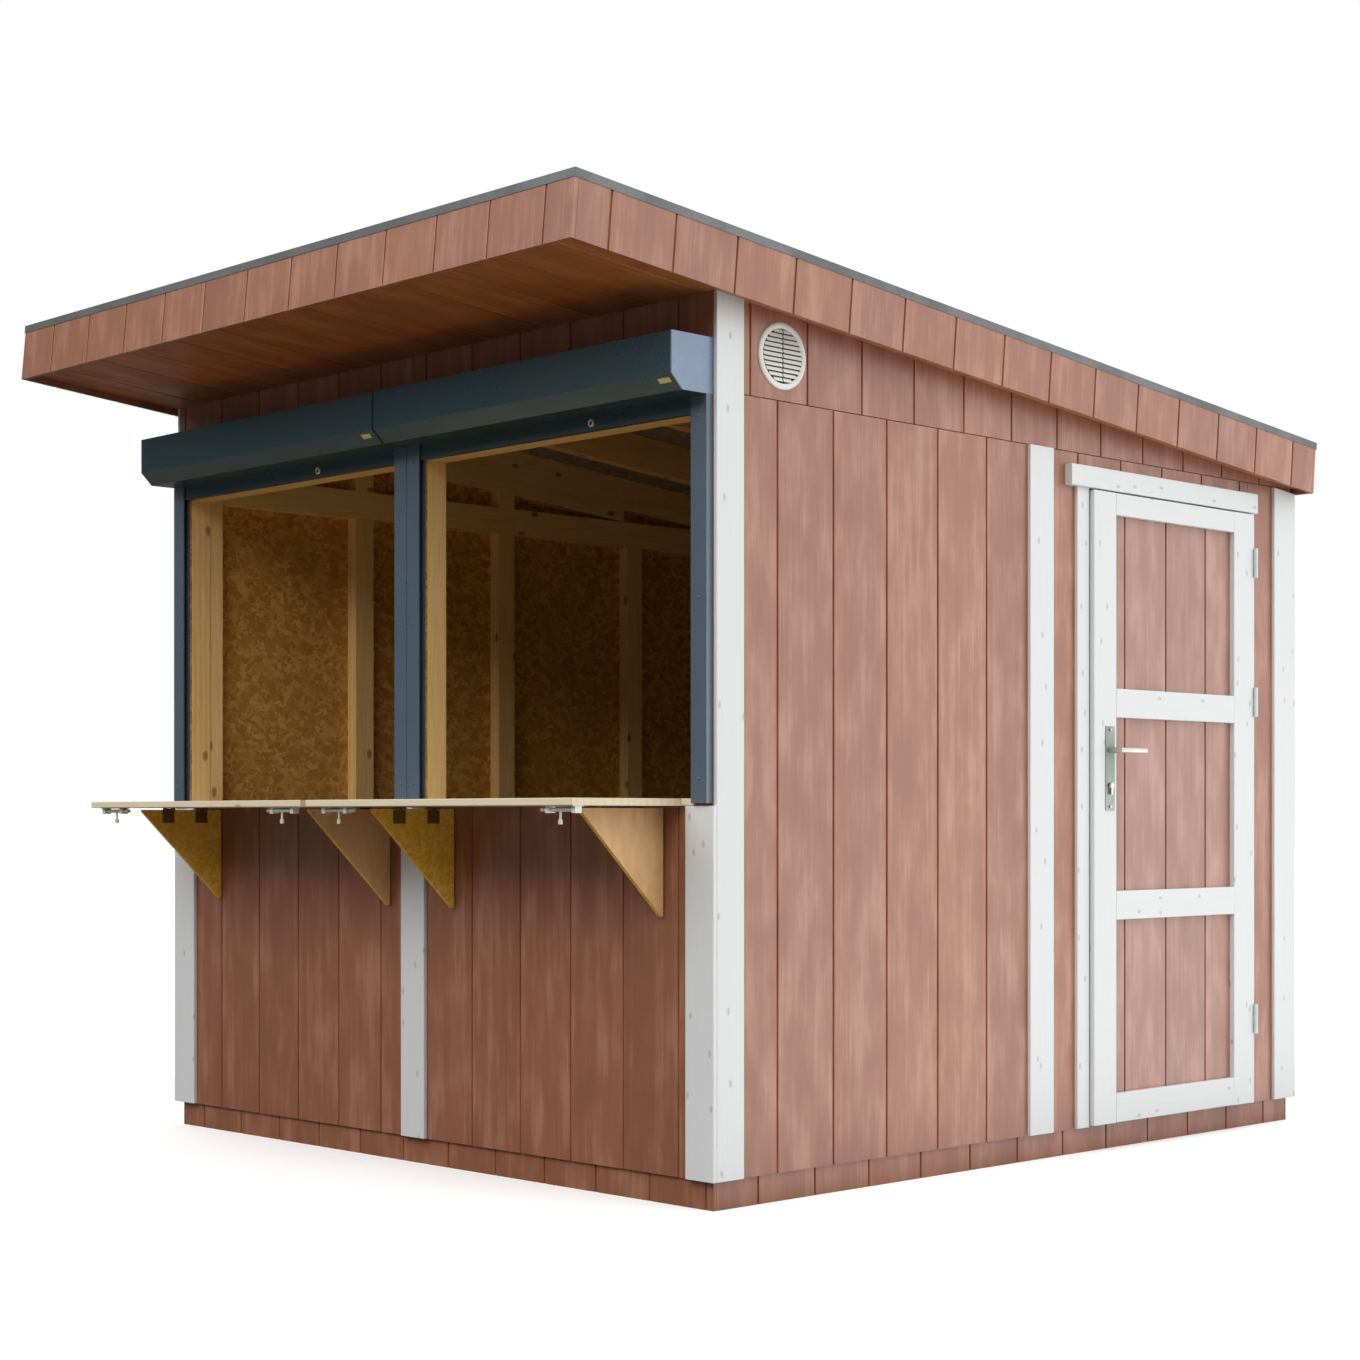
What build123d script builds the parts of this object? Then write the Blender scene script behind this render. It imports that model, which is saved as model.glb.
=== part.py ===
# Wooden market hut with two serving hatches under roller shutters, fold-up shelf brackets and a side door.
# Millimetres. +Z is up and the origin is the centre of the base on the ground. The hatches look along -Y,
# the door is in the wall on +X, and the flat roof falls from the front to the back.

import os
from math import cos, radians, sin, tan

from build123d import *

# Footprint, plinth and floor
hut_width = 2380.0
hut_depth = 2518.0
plinth_height = 72.0
floor_thickness = 18.0
floor_joist_width = 45.0
floor_joist_count = 5

# Grooved wall sheet, white trim boards and the gaps left at butt joints
sheet_thickness = 9.0
trim_thickness = 12.0
trim_lift = 1.0
butt_gap = 0.4
panel_joint = 2.0

# Wall sheets: their top, and the distance from the middle joint to the doorway
wall_panel_top = 1992.0
joint_to_doorway = 215.0

# Timber frame
plate_height = 45.0
plate_drop = 7.0
side_frame_depth = 45.0
side_stud_width = 70.0
side_stud_pitch = 600.0
back_stud_count = 5
gable_rail_end_gap = 10.0
front_post_depth = 66.0
front_end_post_width = 47.0
front_middle_post_width = 108.0
front_stud_width = 45.0

# Serving hatches
hatch_sill = 985.0
hatch_head_drop = 51.0
head_beam_height = 71.0

# Roof: slope in degrees, overhangs along the top edge and layers measured square to the slope
roof_slope = 5.273
roof_front_overhang = 513.0
roof_back_overhang = 44.0
roof_left_overhang = 45.0
roof_right_overhang = 82.0
gable_back_height = 18.8
rafter_depth = 110.0
rafter_width = 45.0
rafter_count = 5
soffit_thickness = 12.0
fascia_drip = 18.0
fascia_thickness = 12.0
deck_thickness = 18.0
roofing_thickness = 2.0
edge_metal = 1.5
edge_flange = 45.0

# Corner boards and joint battens
front_left_board = 112.0
front_right_board = 100.0
front_side_board = 93.0
back_corner_board = 118.0
batten_width = 105.0
front_batten_shift = 11.5

# Roller shutters
shutter_box_lift = 40.0
shutter_box_height = 138.0
shutter_box_depth = 137.0
shutter_box_bevel = 36.0
shutter_unit_gap = 1.0
shutter_end_plate = 4.0
shutter_rail_width = 55.0
shutter_rail_depth = 22.0
shutter_rail_wall = 3.0
shutter_rail_lift = 6.0
end_slat_height = 41.6
end_slat_thickness = 12.0
slat_grip = 10.0
slat_side_gap = 1.0
lock_radius = 11.0
lock_length = 6.0
lock_offset = 171.0
lock_height = 19.6

# Counter shelves
shelf_end_inset = 92.0
shelf_gap = 24.0
shelf_thickness = 18.0
shelf_depth = 350.6

# Folding brackets under the shelves, each placed from its own end of the shelf
bracket_thickness = 12.0
bracket_front_setback = 90.0
bracket_wall_gap = 5.0
bracket_nose = 6.0
left_shelf_bracket_insets = (135.0, 94.0)
right_shelf_bracket_insets = (172.0, 79.0)
bracket_hinge_reaches = (70.0, 183.0)
bracket_hinge_length = 40.0
bracket_hinge_leaf = 36.0
bracket_hinge_metal = 1.5
bracket_hinge_radius = 3.0
knuckle_sides = 12
bracket_hinge_clearance = 1.0
bracket_pin_radius = 1.2
bracket_axis_drop = 5.0

# Slide bolts under the shelves' front corners
left_shelf_bolt_insets = (98.0, 108.0)
right_shelf_bolt_insets = (111.0, 58.0)
bolt_front_inset = 22.0
bolt_overhang = 24.0
bolt_radius = 5.0
bolt_axis_drop = 10.0
bolt_plate_length = 110.0
bolt_plate_width = 32.0
bolt_plate_thickness = 2.5
bolt_strap_length = 14.0
bolt_strap_wall = 3.0
bolt_strap_width = 20.0
bolt_stem_offset = 10.0
bolt_stem_radius = 3.0
bolt_stem_drop = 24.0
bolt_knob_radius = 5.5
bolt_knob_height = 11.0
running_clearance = 0.4

# Doorway and door
doorway_to_back = 230.0
doorway_width = 819.0
doorway_head_drop = 96.0
door_gap = 5.0
door_board = 18.0
door_face_proud = 35.0
door_stile = 105.0
door_bottom_rail = 84.0
door_middle_rail = 83.0
door_top_rail = 63.0
door_stop_reach = 15.0
front_jamb_width = 55.0
back_jamb_width = 20.0
head_board_height = 61.0
head_board_thickness = 25.0
head_board_overhang = 42.0

# Door hinges, placed from the bottom and the top of the leaf
low_hinge_rise = 258.0
middle_hinge_drop = 579.0
top_hinge_drop = 150.0
hinge_length = 90.0
hinge_knuckle_radius = 6.0
hinge_pin_radius = 2.5
hinge_pin_clearance = 0.08
hinge_plate_thickness = 2.0
hinge_plate_width = 34.0
hinge_axis_proud = 7.0
hinge_knuckle_gap = 0.5

# Door handle
handle_setback = 72.0
handle_height = 1149.0
handle_plate_width = 42.0
handle_plate_thickness = 2.5
handle_plate_above = 69.0
handle_plate_below = 172.0
keyhole_drop = 107.0
key_cylinder_radius = 9.0
key_cylinder_proud = 3.0
spindle_radius = 4.5
spindle_hole = 10.0
spindle_clearance = 0.1
lever_gap = 0.5
lever_reach = 42.0
lever_length = 116.0
lever_radius = 8.0

# Round louvred vent in the right gable
vent_front_inset = 227.0
vent_soffit_gap = 21.0
vent_radius = 84.0
vent_rim = 8.0
vent_depth = 15.0
vent_louvre_count = 12
vent_louvre_thickness = 2.5
vent_louvre_tilt = 40.0
vent_louvre_overlap = 0.9
vent_rib_width = 6.0
vent_seat = 2.0

# Places worked out from the driving sizes
side_x = hut_width / 2
front_y = -hut_depth / 2
back_y = hut_depth / 2
clad_x = side_x + sheet_thickness
clad_front = front_y - sheet_thickness
clad_back = back_y + sheet_thickness
trim_front = clad_front - trim_thickness
trim_back = clad_back + trim_thickness
top_plate_top = wall_panel_top - plate_drop
doorway_back = back_y - doorway_to_back
doorway_front = doorway_back - doorway_width
doorway_head = wall_panel_top - doorway_head_drop
side_joint = doorway_front - joint_to_doorway
hatch_head = wall_panel_top - hatch_head_drop
end_post_inner = side_x - front_end_post_width
middle_post_side = front_middle_post_width / 2
shelf_top = hatch_sill + shelf_thickness
shutter_out = clad_x - 2 * shutter_unit_gap
shutter_box_under = hatch_head + shutter_box_lift
slope = radians(roof_slope)
roof_front = front_y - roof_front_overhang
roof_length = (hut_depth + roof_front_overhang + roof_back_overhang) / cos(slope)
roof_width = hut_width + roof_left_overhang + roof_right_overhang
roof_middle = (roof_right_overhang - roof_left_overhang) / 2
back_rafter_under = wall_panel_top + gable_back_height
roof_front_top = back_rafter_under + rafter_depth / cos(slope) + (back_y - roof_front) * tan(slope)
soffit_under = rafter_depth + soffit_thickness
fascia_height = soffit_under + fascia_drip

front_face = Plane(origin=(0, front_y, 0), x_dir=(1, 0, 0), z_dir=(0, -1, 0))
back_face = Plane(origin=(0, back_y, 0), x_dir=(-1, 0, 0), z_dir=(0, 1, 0))
right_face = Plane(origin=(side_x, 0, 0), x_dir=(0, 1, 0), z_dir=(1, 0, 0))
left_face = Plane(origin=(-side_x, 0, 0), x_dir=(0, 1, 0), z_dir=(1, 0, 0))
roof_plane = Plane(
    origin=(roof_middle, roof_front, roof_front_top),
    x_dir=(1, 0, 0),
    z_dir=(0, sin(slope), cos(slope)),
)


def roof_z(y, depth):
    """Height of the roof layer that lies depth under the fascia's top edge, at the place y."""
    return roof_front_top - (y - roof_front) * tan(slope) - depth / cos(slope)


def rectangle(x_low, x_high, y_low, y_high):
    """Add the rectangle between two corners to the sketch that is being drawn."""
    with Locations(((x_low + x_high) / 2, (y_low + y_high) / 2)):
        Rectangle(x_high - x_low, y_high - y_low)


def outline(*points):
    """Add the closed straight-sided outline through the points to the sketch that is being drawn."""
    Polygon(*points, align=None)


def save(builder, name):
    """Label the finished piece and write it out under its own name."""
    builder.part.label = name
    export_step(builder.part, f"parts/{name}.step")


os.makedirs("parts", exist_ok=True)

# Floor joists: five timbers from front to back, between the plinth boards
joist_height = plinth_height - floor_thickness
floor_width = hut_width - 2 * sheet_thickness - 2 * butt_gap
floor_depth = hut_depth - 2 * sheet_thickness - 2 * butt_gap
joist_pitch = (floor_width - floor_joist_width) / (floor_joist_count - 1)
with BuildPart() as floor_joists:
    with BuildSketch(Plane.XY):
        with GridLocations(joist_pitch, floor_depth, floor_joist_count, 1):
            Rectangle(floor_joist_width, floor_depth)
    extrude(amount=joist_height)
save(floor_joists, "floor_joists")

# Floor deck: one slab on the joists
with BuildPart() as floor_deck:
    with BuildSketch(Plane.XY.offset(joist_height)):
        Rectangle(floor_width, floor_depth)
    extrude(amount=floor_thickness)
save(floor_deck, "floor_deck")

# Plinth boards: grooved sheet strips round the floor, the side pair between the front and back ones
with BuildPart() as plinth_boards:
    with BuildSketch(Plane.XY):
        with GridLocations(hut_width, hut_depth - sheet_thickness, 1, 2):
            Rectangle(hut_width, sheet_thickness)
        with GridLocations(hut_width - sheet_thickness, floor_depth, 2, 1):
            Rectangle(sheet_thickness, floor_depth)
    extrude(amount=plinth_height)
save(plinth_boards, "plinth_boards")

# Front wall: a sheet each side of the middle under the hatches and over them, and strips between
half_joint = panel_joint / 2
front_top = roof_z(front_y, rafter_depth) - butt_gap
with BuildPart() as front_wall:
    with BuildSketch(front_face):
        rectangle(-clad_x, -half_joint, plinth_height, hatch_sill)
        rectangle(half_joint, clad_x, plinth_height, hatch_sill)
        rectangle(-clad_x, -end_post_inner, hatch_sill + butt_gap, hatch_head - butt_gap)
        rectangle(-middle_post_side, middle_post_side, hatch_sill + butt_gap, hatch_head - butt_gap)
        rectangle(end_post_inner, clad_x, hatch_sill + butt_gap, hatch_head - butt_gap)
        rectangle(-clad_x, -half_joint, hatch_head, front_top)
        rectangle(half_joint, clad_x, hatch_head, front_top)
    extrude(amount=sheet_thickness)
save(front_wall, "front_wall")

# Left wall: two sheets that meet behind the joint batten
with BuildPart() as left_wall:
    with BuildSketch(left_face):
        rectangle(front_y, side_joint - half_joint, plinth_height, wall_panel_top)
        rectangle(side_joint + half_joint, back_y, plinth_height, wall_panel_top)
    extrude(amount=-sheet_thickness)
save(left_wall, "left_wall")

# Right wall: the same sheets, cut beside and over the doorway
with BuildPart() as right_wall:
    with BuildSketch(right_face):
        rectangle(front_y, side_joint - half_joint, plinth_height, wall_panel_top)
        rectangle(side_joint + half_joint, doorway_front, plinth_height, wall_panel_top)
        rectangle(doorway_front + butt_gap, doorway_back - butt_gap, doorway_head, wall_panel_top)
        rectangle(doorway_back, back_y, plinth_height, wall_panel_top)
    extrude(amount=sheet_thickness)
save(right_wall, "right_wall")

# Back wall: two full-height sheets under the low edge of the roof
back_top = roof_z(clad_back, rafter_depth) - butt_gap
with BuildPart() as back_wall:
    with BuildSketch(back_face):
        rectangle(-clad_x, -half_joint, plinth_height, back_top)
        rectangle(half_joint, clad_x, plinth_height, back_top)
    extrude(amount=sheet_thickness)
save(back_wall, "back_wall")

# Gable sheets: the tapering sheet over each side wall, up to the rafters
gable_low = wall_panel_top + butt_gap
with BuildPart() as gable_sheets:
    with BuildSketch(right_face):
        outline(
            (front_y, gable_low),
            (back_y, gable_low),
            (back_y, roof_z(back_y, rafter_depth) - butt_gap),
            (front_y, roof_z(front_y, rafter_depth) - butt_gap),
        )
    extrude(amount=sheet_thickness)
    mirror(about=Plane.YZ)
save(gable_sheets, "gable_sheets")

# Front wall frame: plates, posts beside the hatches, sill beams, one head beam and a stud under each hatch
post_low = plinth_height + plate_height + butt_gap
sill_beam_low = hatch_sill - plate_height
head_beam_top = hatch_head + head_beam_height
front_plate_top = roof_z(front_y + front_post_depth, rafter_depth) - butt_gap
front_plate_low = front_plate_top - plate_height
bay_middle = (middle_post_side + end_post_inner) / 2
front_uprights = [
    (-side_x, -end_post_inner, hatch_head),
    (-bay_middle - front_stud_width / 2, -bay_middle + front_stud_width / 2, sill_beam_low),
    (-middle_post_side, middle_post_side, hatch_head),
    (bay_middle - front_stud_width / 2, bay_middle + front_stud_width / 2, sill_beam_low),
    (end_post_inner, side_x, hatch_head),
]
with BuildPart() as front_wall_frame:
    with BuildSketch(front_face):
        rectangle(-side_x, side_x, plinth_height + butt_gap, plinth_height + plate_height)
        for left, right, top in front_uprights:
            rectangle(left, right, post_low, top - butt_gap)
            rectangle(left, right, head_beam_top + butt_gap, front_plate_low - butt_gap)
        rectangle(-end_post_inner + butt_gap, -middle_post_side - butt_gap, sill_beam_low, hatch_sill)
        rectangle(middle_post_side + butt_gap, end_post_inner - butt_gap, sill_beam_low, hatch_sill)
        rectangle(-side_x, side_x, hatch_head, head_beam_top)
        rectangle(-side_x, side_x, front_plate_low, front_plate_top)
    extrude(amount=-front_post_depth)
save(front_wall_frame, "front_wall_frame")

# Hatch sills: the boards that carry the counter level through the wall, between the guide rails
sill_near = shutter_unit_gap + shutter_rail_width + butt_gap
sill_far = shutter_out - shutter_rail_width - butt_gap
with BuildPart() as hatch_sills:
    with BuildSketch(Plane.XY.offset(hatch_sill)):
        rectangle(-sill_far, -sill_near, trim_front, front_y + front_post_depth)
        rectangle(sill_near, sill_far, trim_front, front_y + front_post_depth)
    extrude(amount=shelf_thickness)
save(hatch_sills, "hatch_sills")

# Side wall frames: flat studs between plates, with a tapering sill, a raking rail and struts in the gable
side_front = front_y + front_post_depth + butt_gap
side_back = back_y - side_frame_depth - butt_gap
half_stud = side_stud_width / 2
front_stud = (side_front, side_front + side_frame_depth)
bay_stud = (side_joint - side_stud_pitch - half_stud, side_joint - side_stud_pitch + half_stud)
joint_stud = (side_joint - half_stud, side_joint + half_stud)
rear_stud = (side_joint + side_stud_pitch - half_stud, side_joint + side_stud_pitch + half_stud)
back_stud = (side_back - side_frame_depth, side_back)
door_front_stud = (doorway_front - side_stud_width, doorway_front)
door_back_stud = (doorway_back, doorway_back + side_stud_width)
side_plate_low = top_plate_top - plate_height
gable_sill_low = top_plate_top + butt_gap
gable_sill_top = gable_sill_low + plate_height
rail_top = rafter_depth + butt_gap
rail_under = rail_top + plate_height


def roof_y(z, depth):
    """Place along the hut where the roof layer that lies depth under the fascia's top edge has height z."""
    return roof_front + (roof_front_top - z - depth / cos(slope)) / tan(slope)


def side_frame(studs):
    """Draw a side wall's studs, its top plate and its gable framing in that wall's sketch."""
    rectangle(side_front, side_back, side_plate_low, top_plate_top)
    for low, high in studs:
        rectangle(low, high, post_low, side_plate_low - butt_gap)
    outline(
        (side_front, gable_sill_low),
        (side_back, gable_sill_low),
        (side_back, roof_z(side_back, rail_top)),
        (roof_y(gable_sill_top, rail_top), gable_sill_top),
        (side_front, gable_sill_top),
    )
    rail_end = roof_y(gable_sill_top, rail_under) - gable_rail_end_gap
    outline(
        (side_front, roof_z(side_front, rail_under)),
        (rail_end, roof_z(rail_end, rail_under)),
        (rail_end, roof_z(rail_end, rail_top)),
        (side_front, roof_z(side_front, rail_top)),
    )
    for low, high in (front_stud, bay_stud, joint_stud):
        outline(
            (low, gable_sill_top + butt_gap),
            (high, gable_sill_top + butt_gap),
            (high, roof_z(high, rail_under) - butt_gap),
            (low, roof_z(low, rail_under) - butt_gap),
        )


with BuildPart() as left_wall_frame:
    with BuildSketch(left_face):
        rectangle(side_front, side_back, plinth_height + butt_gap, plinth_height + plate_height)
        side_frame([front_stud, bay_stud, joint_stud, rear_stud, back_stud])
    extrude(amount=side_frame_depth)
save(left_wall_frame, "left_wall_frame")

with BuildPart() as right_wall_frame:
    with BuildSketch(right_face):
        rectangle(side_front, doorway_front, plinth_height + butt_gap, plinth_height + plate_height)
        rectangle(doorway_back, side_back, plinth_height + butt_gap, plinth_height + plate_height)
        rectangle(doorway_front + butt_gap, doorway_back - butt_gap, doorway_head, side_plate_low - butt_gap)
        side_frame([front_stud, bay_stud, joint_stud, door_front_stud, door_back_stud, back_stud])
    extrude(amount=-side_frame_depth)
save(right_wall_frame, "right_wall_frame")

# Back wall frame: plates and evenly spaced studs
back_plate_top = roof_z(back_y, rafter_depth) - butt_gap
back_plate_low = back_plate_top - plate_height
back_stud_pitch = (hut_width - side_stud_width) / (back_stud_count - 1)
back_stud_height = back_plate_low - butt_gap - post_low
with BuildPart() as back_wall_frame:
    with BuildSketch(back_face):
        rectangle(-side_x, side_x, plinth_height + butt_gap, plinth_height + plate_height)
        rectangle(-side_x, side_x, back_plate_low, back_plate_top)
        with Locations((0, post_low + back_stud_height / 2)):
            with GridLocations(back_stud_pitch, back_stud_height, back_stud_count, 1):
                Rectangle(side_stud_width, back_stud_height)
    extrude(amount=-side_frame_depth)
save(back_wall_frame, "back_wall_frame")

# Rafters: timbers down the slope between the front and back fascias, the outer pair over the side walls
half_roof = roof_width / 2
inside_fascia = fascia_thickness + butt_gap
rafter_length = roof_length - 2 * inside_fascia
rafter_pitch = (hut_width - rafter_width) / (rafter_count - 1)
with BuildPart() as rafters:
    with BuildSketch(roof_plane.offset(-rafter_depth)):
        with Locations((-roof_middle, roof_length / 2)):
            with GridLocations(rafter_pitch, rafter_length, rafter_count, 1):
                Rectangle(rafter_width, rafter_length)
    extrude(amount=rafter_depth)
save(rafters, "rafters")

# Roof deck: boards over the rafters and the fascias
with BuildPart() as roof_deck:
    with BuildSketch(roof_plane):
        rectangle(-half_roof, half_roof, 0, roof_length)
    extrude(amount=deck_thickness)
save(roof_deck, "roof_deck")

# Roofing: the membrane on the deck
with BuildPart() as roofing:
    with BuildSketch(roof_plane.offset(deck_thickness)):
        rectangle(-half_roof, half_roof, 0, roof_length)
    extrude(amount=roofing_thickness)
save(roofing, "roofing")

# Roof edge metal: an angle along each edge, its face over the deck's edge and its flange on the roofing
roofing_top = deck_thickness + roofing_thickness
metal_side = half_roof + edge_metal
metal_back = roof_length + edge_metal
flange_side = half_roof - butt_gap
side_flange_front = edge_flange + butt_gap
side_flange_back = roof_length - edge_flange - butt_gap
with BuildPart() as roof_edge_metal:
    with BuildSketch(roof_plane):
        rectangle(-metal_side, metal_side, -edge_metal, 0)
        rectangle(-metal_side, metal_side, roof_length, metal_back)
        rectangle(-metal_side, -half_roof, butt_gap, roof_length - butt_gap)
        rectangle(half_roof, metal_side, butt_gap, roof_length - butt_gap)
    extrude(amount=roofing_top + edge_metal)
    with BuildSketch(roof_plane.offset(roofing_top)):
        rectangle(-flange_side, flange_side, -edge_metal, edge_flange)
        rectangle(-flange_side, flange_side, roof_length - edge_flange, metal_back)
        rectangle(-metal_side, -half_roof + edge_flange, side_flange_front, side_flange_back)
        rectangle(half_roof - edge_flange, metal_side, side_flange_front, side_flange_back)
    extrude(amount=edge_metal)
save(roof_edge_metal, "roof_edge_metal")

# Fascia boards: grooved sheet round the roof, square to its slope
with BuildPart() as fascia_boards:
    with BuildSketch(roof_plane.offset(-fascia_height)):
        rectangle(-half_roof, half_roof, 0, fascia_thickness)
        rectangle(-half_roof, half_roof, roof_length - fascia_thickness, roof_length)
        rectangle(-half_roof, -half_roof + fascia_thickness, inside_fascia, roof_length - inside_fascia)
        rectangle(half_roof - fascia_thickness, half_roof, inside_fascia, roof_length - inside_fascia)
    extrude(amount=fascia_height)
save(fascia_boards, "fascia_boards")

# Soffit: grooved sheet under the rafters, in front of the wall and in strips beside it
soffit_end = (clad_front - roof_front + rafter_depth * sin(slope)) / cos(slope) - butt_gap
strip_front = soffit_end + butt_gap
strip_back = roof_length - inside_fascia
with BuildPart() as soffit:
    with BuildSketch(roof_plane.offset(-soffit_under)):
        rectangle(-half_roof + inside_fascia, half_roof - inside_fascia, inside_fascia, soffit_end)
        rectangle(-half_roof + inside_fascia, -clad_x - butt_gap - roof_middle, strip_front, strip_back)
        rectangle(clad_x + butt_gap - roof_middle, half_roof - inside_fascia, strip_front, strip_back)
    extrude(amount=soffit_thickness)
save(soffit, "soffit")

# Corner boards: white boards on both faces of each corner, those on the front only under the hatches
board_low = plinth_height + trim_lift
front_board_reach = soffit_under + butt_gap
back_board_reach = fascia_height + butt_gap
front_board_back = clad_front + front_side_board
trim_x = clad_x + trim_thickness
back_board_front = trim_back - back_corner_board
back_board_top = roof_z(trim_back, back_board_reach)
with BuildPart() as corner_boards:
    with BuildSketch(right_face.offset(sheet_thickness)):
        outline(
            (clad_front, board_low),
            (front_board_back, board_low),
            (front_board_back, roof_z(front_board_back, front_board_reach)),
            (clad_front, roof_z(clad_front, front_board_reach)),
        )
        outline(
            (back_board_front, board_low),
            (trim_back, board_low),
            (trim_back, back_board_top),
            (back_board_front, roof_z(back_board_front, back_board_reach)),
        )
    extrude(amount=trim_thickness)
    mirror(about=Plane.YZ)
    with BuildSketch(front_face.offset(sheet_thickness)):
        rectangle(-trim_x, -trim_x + front_left_board, board_low, hatch_sill - butt_gap)
        rectangle(trim_x - front_right_board, trim_x, board_low, hatch_sill - butt_gap)
    extrude(amount=trim_thickness)
    with BuildSketch(back_face.offset(sheet_thickness)):
        rectangle(-clad_x + butt_gap, -clad_x + back_corner_board, board_low, back_board_top)
        rectangle(clad_x - back_corner_board, clad_x - butt_gap, board_low, back_board_top)
    extrude(amount=trim_thickness)
save(corner_boards, "corner_boards")

# Joint battens: white boards over the middle joint of each wall
half_batten = batten_width / 2
with BuildPart() as joint_battens:
    with BuildSketch(front_face.offset(sheet_thickness)):
        rectangle(
            front_batten_shift - half_batten,
            front_batten_shift + half_batten,
            board_low,
            hatch_sill - butt_gap,
        )
    extrude(amount=trim_thickness)
    with BuildSketch(back_face.offset(sheet_thickness)):
        rectangle(-half_batten, half_batten, board_low, back_board_top)
    extrude(amount=trim_thickness)
    with BuildSketch(right_face.offset(sheet_thickness)):
        rectangle(side_joint - half_batten, side_joint + half_batten, board_low, wall_panel_top)
    extrude(amount=trim_thickness)
    with BuildSketch(left_face.offset(-sheet_thickness)):
        rectangle(side_joint - half_batten, side_joint + half_batten, board_low, wall_panel_top)
    extrude(amount=-trim_thickness)
save(joint_battens, "joint_battens")

# Shutter boxes: folded metal housings with a bevelled lower front, one over each hatch, closed by end plates
shutter_box_top = shutter_box_under + shutter_box_height
box_front = clad_front - shutter_box_depth
box_start = shutter_unit_gap + shutter_end_plate
box_end = shutter_out - shutter_end_plate


def box_profile():
    """Draw the shutter box's section, with its back on the wall sheet."""
    outline(
        (clad_front, shutter_box_under),
        (clad_front, shutter_box_top),
        (box_front, shutter_box_top),
        (box_front, shutter_box_under + shutter_box_bevel),
        (box_front + shutter_box_bevel, shutter_box_under),
    )


with BuildPart() as shutter_boxes:
    with BuildSketch(Plane.YZ.offset(box_start)):
        box_profile()
    extrude(amount=box_end - box_start)
    mirror(about=Plane.YZ)
save(shutter_boxes, "shutter_boxes")

with BuildPart() as shutter_end_plates:
    for start in (shutter_unit_gap, box_end):
        with BuildSketch(Plane.YZ.offset(start)):
            box_profile()
        extrude(amount=shutter_end_plate)
    mirror(about=Plane.YZ)
save(shutter_end_plates, "shutter_end_plates")

# Guide rails: a channel each side of each hatch, its slot open towards the curtain
curtain_y = clad_front - shutter_rail_depth / 2
slot_half = end_slat_thickness / 2 + slat_side_gap
rail_high = shutter_box_under - butt_gap


def rail_profile(web, mouth):
    """Draw a guide rail's section, from its web at x = web to its open mouth at x = mouth."""
    inside_web = web + shutter_rail_wall * (1 if mouth > web else -1)
    rail_front = clad_front - shutter_rail_depth
    outline(
        (web, clad_front),
        (mouth, clad_front),
        (mouth, curtain_y + slot_half),
        (inside_web, curtain_y + slot_half),
        (inside_web, curtain_y - slot_half),
        (mouth, curtain_y - slot_half),
        (mouth, rail_front),
        (web, rail_front),
    )


with BuildPart() as shutter_rails:
    rail_low = hatch_sill + shutter_rail_lift
    with BuildSketch(Plane.XY.offset(rail_low)):
        rail_profile(shutter_out, shutter_out - shutter_rail_width)
    extrude(amount=rail_high - rail_low)
    middle_rail_low = shelf_top + butt_gap
    with BuildSketch(Plane.XY.offset(middle_rail_low)):
        rail_profile(shutter_unit_gap, shutter_unit_gap + shutter_rail_width)
    extrude(amount=rail_high - middle_rail_low)
    mirror(about=Plane.YZ)
save(shutter_rails, "shutter_rails")

# Shutter end slats: the bottom slat of each rolled-up curtain, its ends held in the rails
slat_start = shutter_unit_gap + shutter_rail_width - slat_grip
slat_end = shutter_out - shutter_rail_width + slat_grip
slat_low = rail_high - end_slat_height
slat_front = curtain_y - end_slat_thickness / 2
with BuildPart() as shutter_end_slats:
    with BuildSketch(Plane.XY.offset(slat_low)):
        rectangle(slat_start, slat_end, slat_front, slat_front + end_slat_thickness)
    extrude(amount=end_slat_height)
    mirror(about=Plane.YZ)
save(shutter_end_slats, "shutter_end_slats")

def across(y):
    """Plane across the hut's depth at the place y, facing the front, with x to the right and z up."""
    return Plane(origin=(0, y, 0), x_dir=(1, 0, 0), z_dir=(0, -1, 0))


# Shutter locks: a round cylinder on each end slat, to the same side of the middle on both
slat_middle = (slat_start + slat_end) / 2
lock_z = slat_low + lock_height
with BuildPart() as shutter_locks:
    with BuildSketch(across(slat_front)):
        with Locations((lock_offset - slat_middle, lock_z), (lock_offset + slat_middle, lock_z)):
            Circle(lock_radius)
    extrude(amount=lock_length)
save(shutter_locks, "shutter_locks")

# Counter shelves: a board in front of each hatch, butted to the sill board
shelf_back = trim_front - butt_gap
shelf_front = shelf_back - shelf_depth
shelf_near = shelf_gap / 2
shelf_far = side_x - shelf_end_inset
with BuildPart() as counter_shelf_left:
    with BuildSketch(Plane.XY.offset(hatch_sill)):
        rectangle(-shelf_far, -shelf_near, shelf_front, shelf_back)
    extrude(amount=shelf_thickness)
save(counter_shelf_left, "counter_shelf_left")

with BuildPart() as counter_shelf_right:
    with BuildSketch(Plane.XY.offset(hatch_sill)):
        rectangle(shelf_near, shelf_far, shelf_front, shelf_back)
    extrude(amount=shelf_thickness)
save(counter_shelf_right, "counter_shelf_right")

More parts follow.
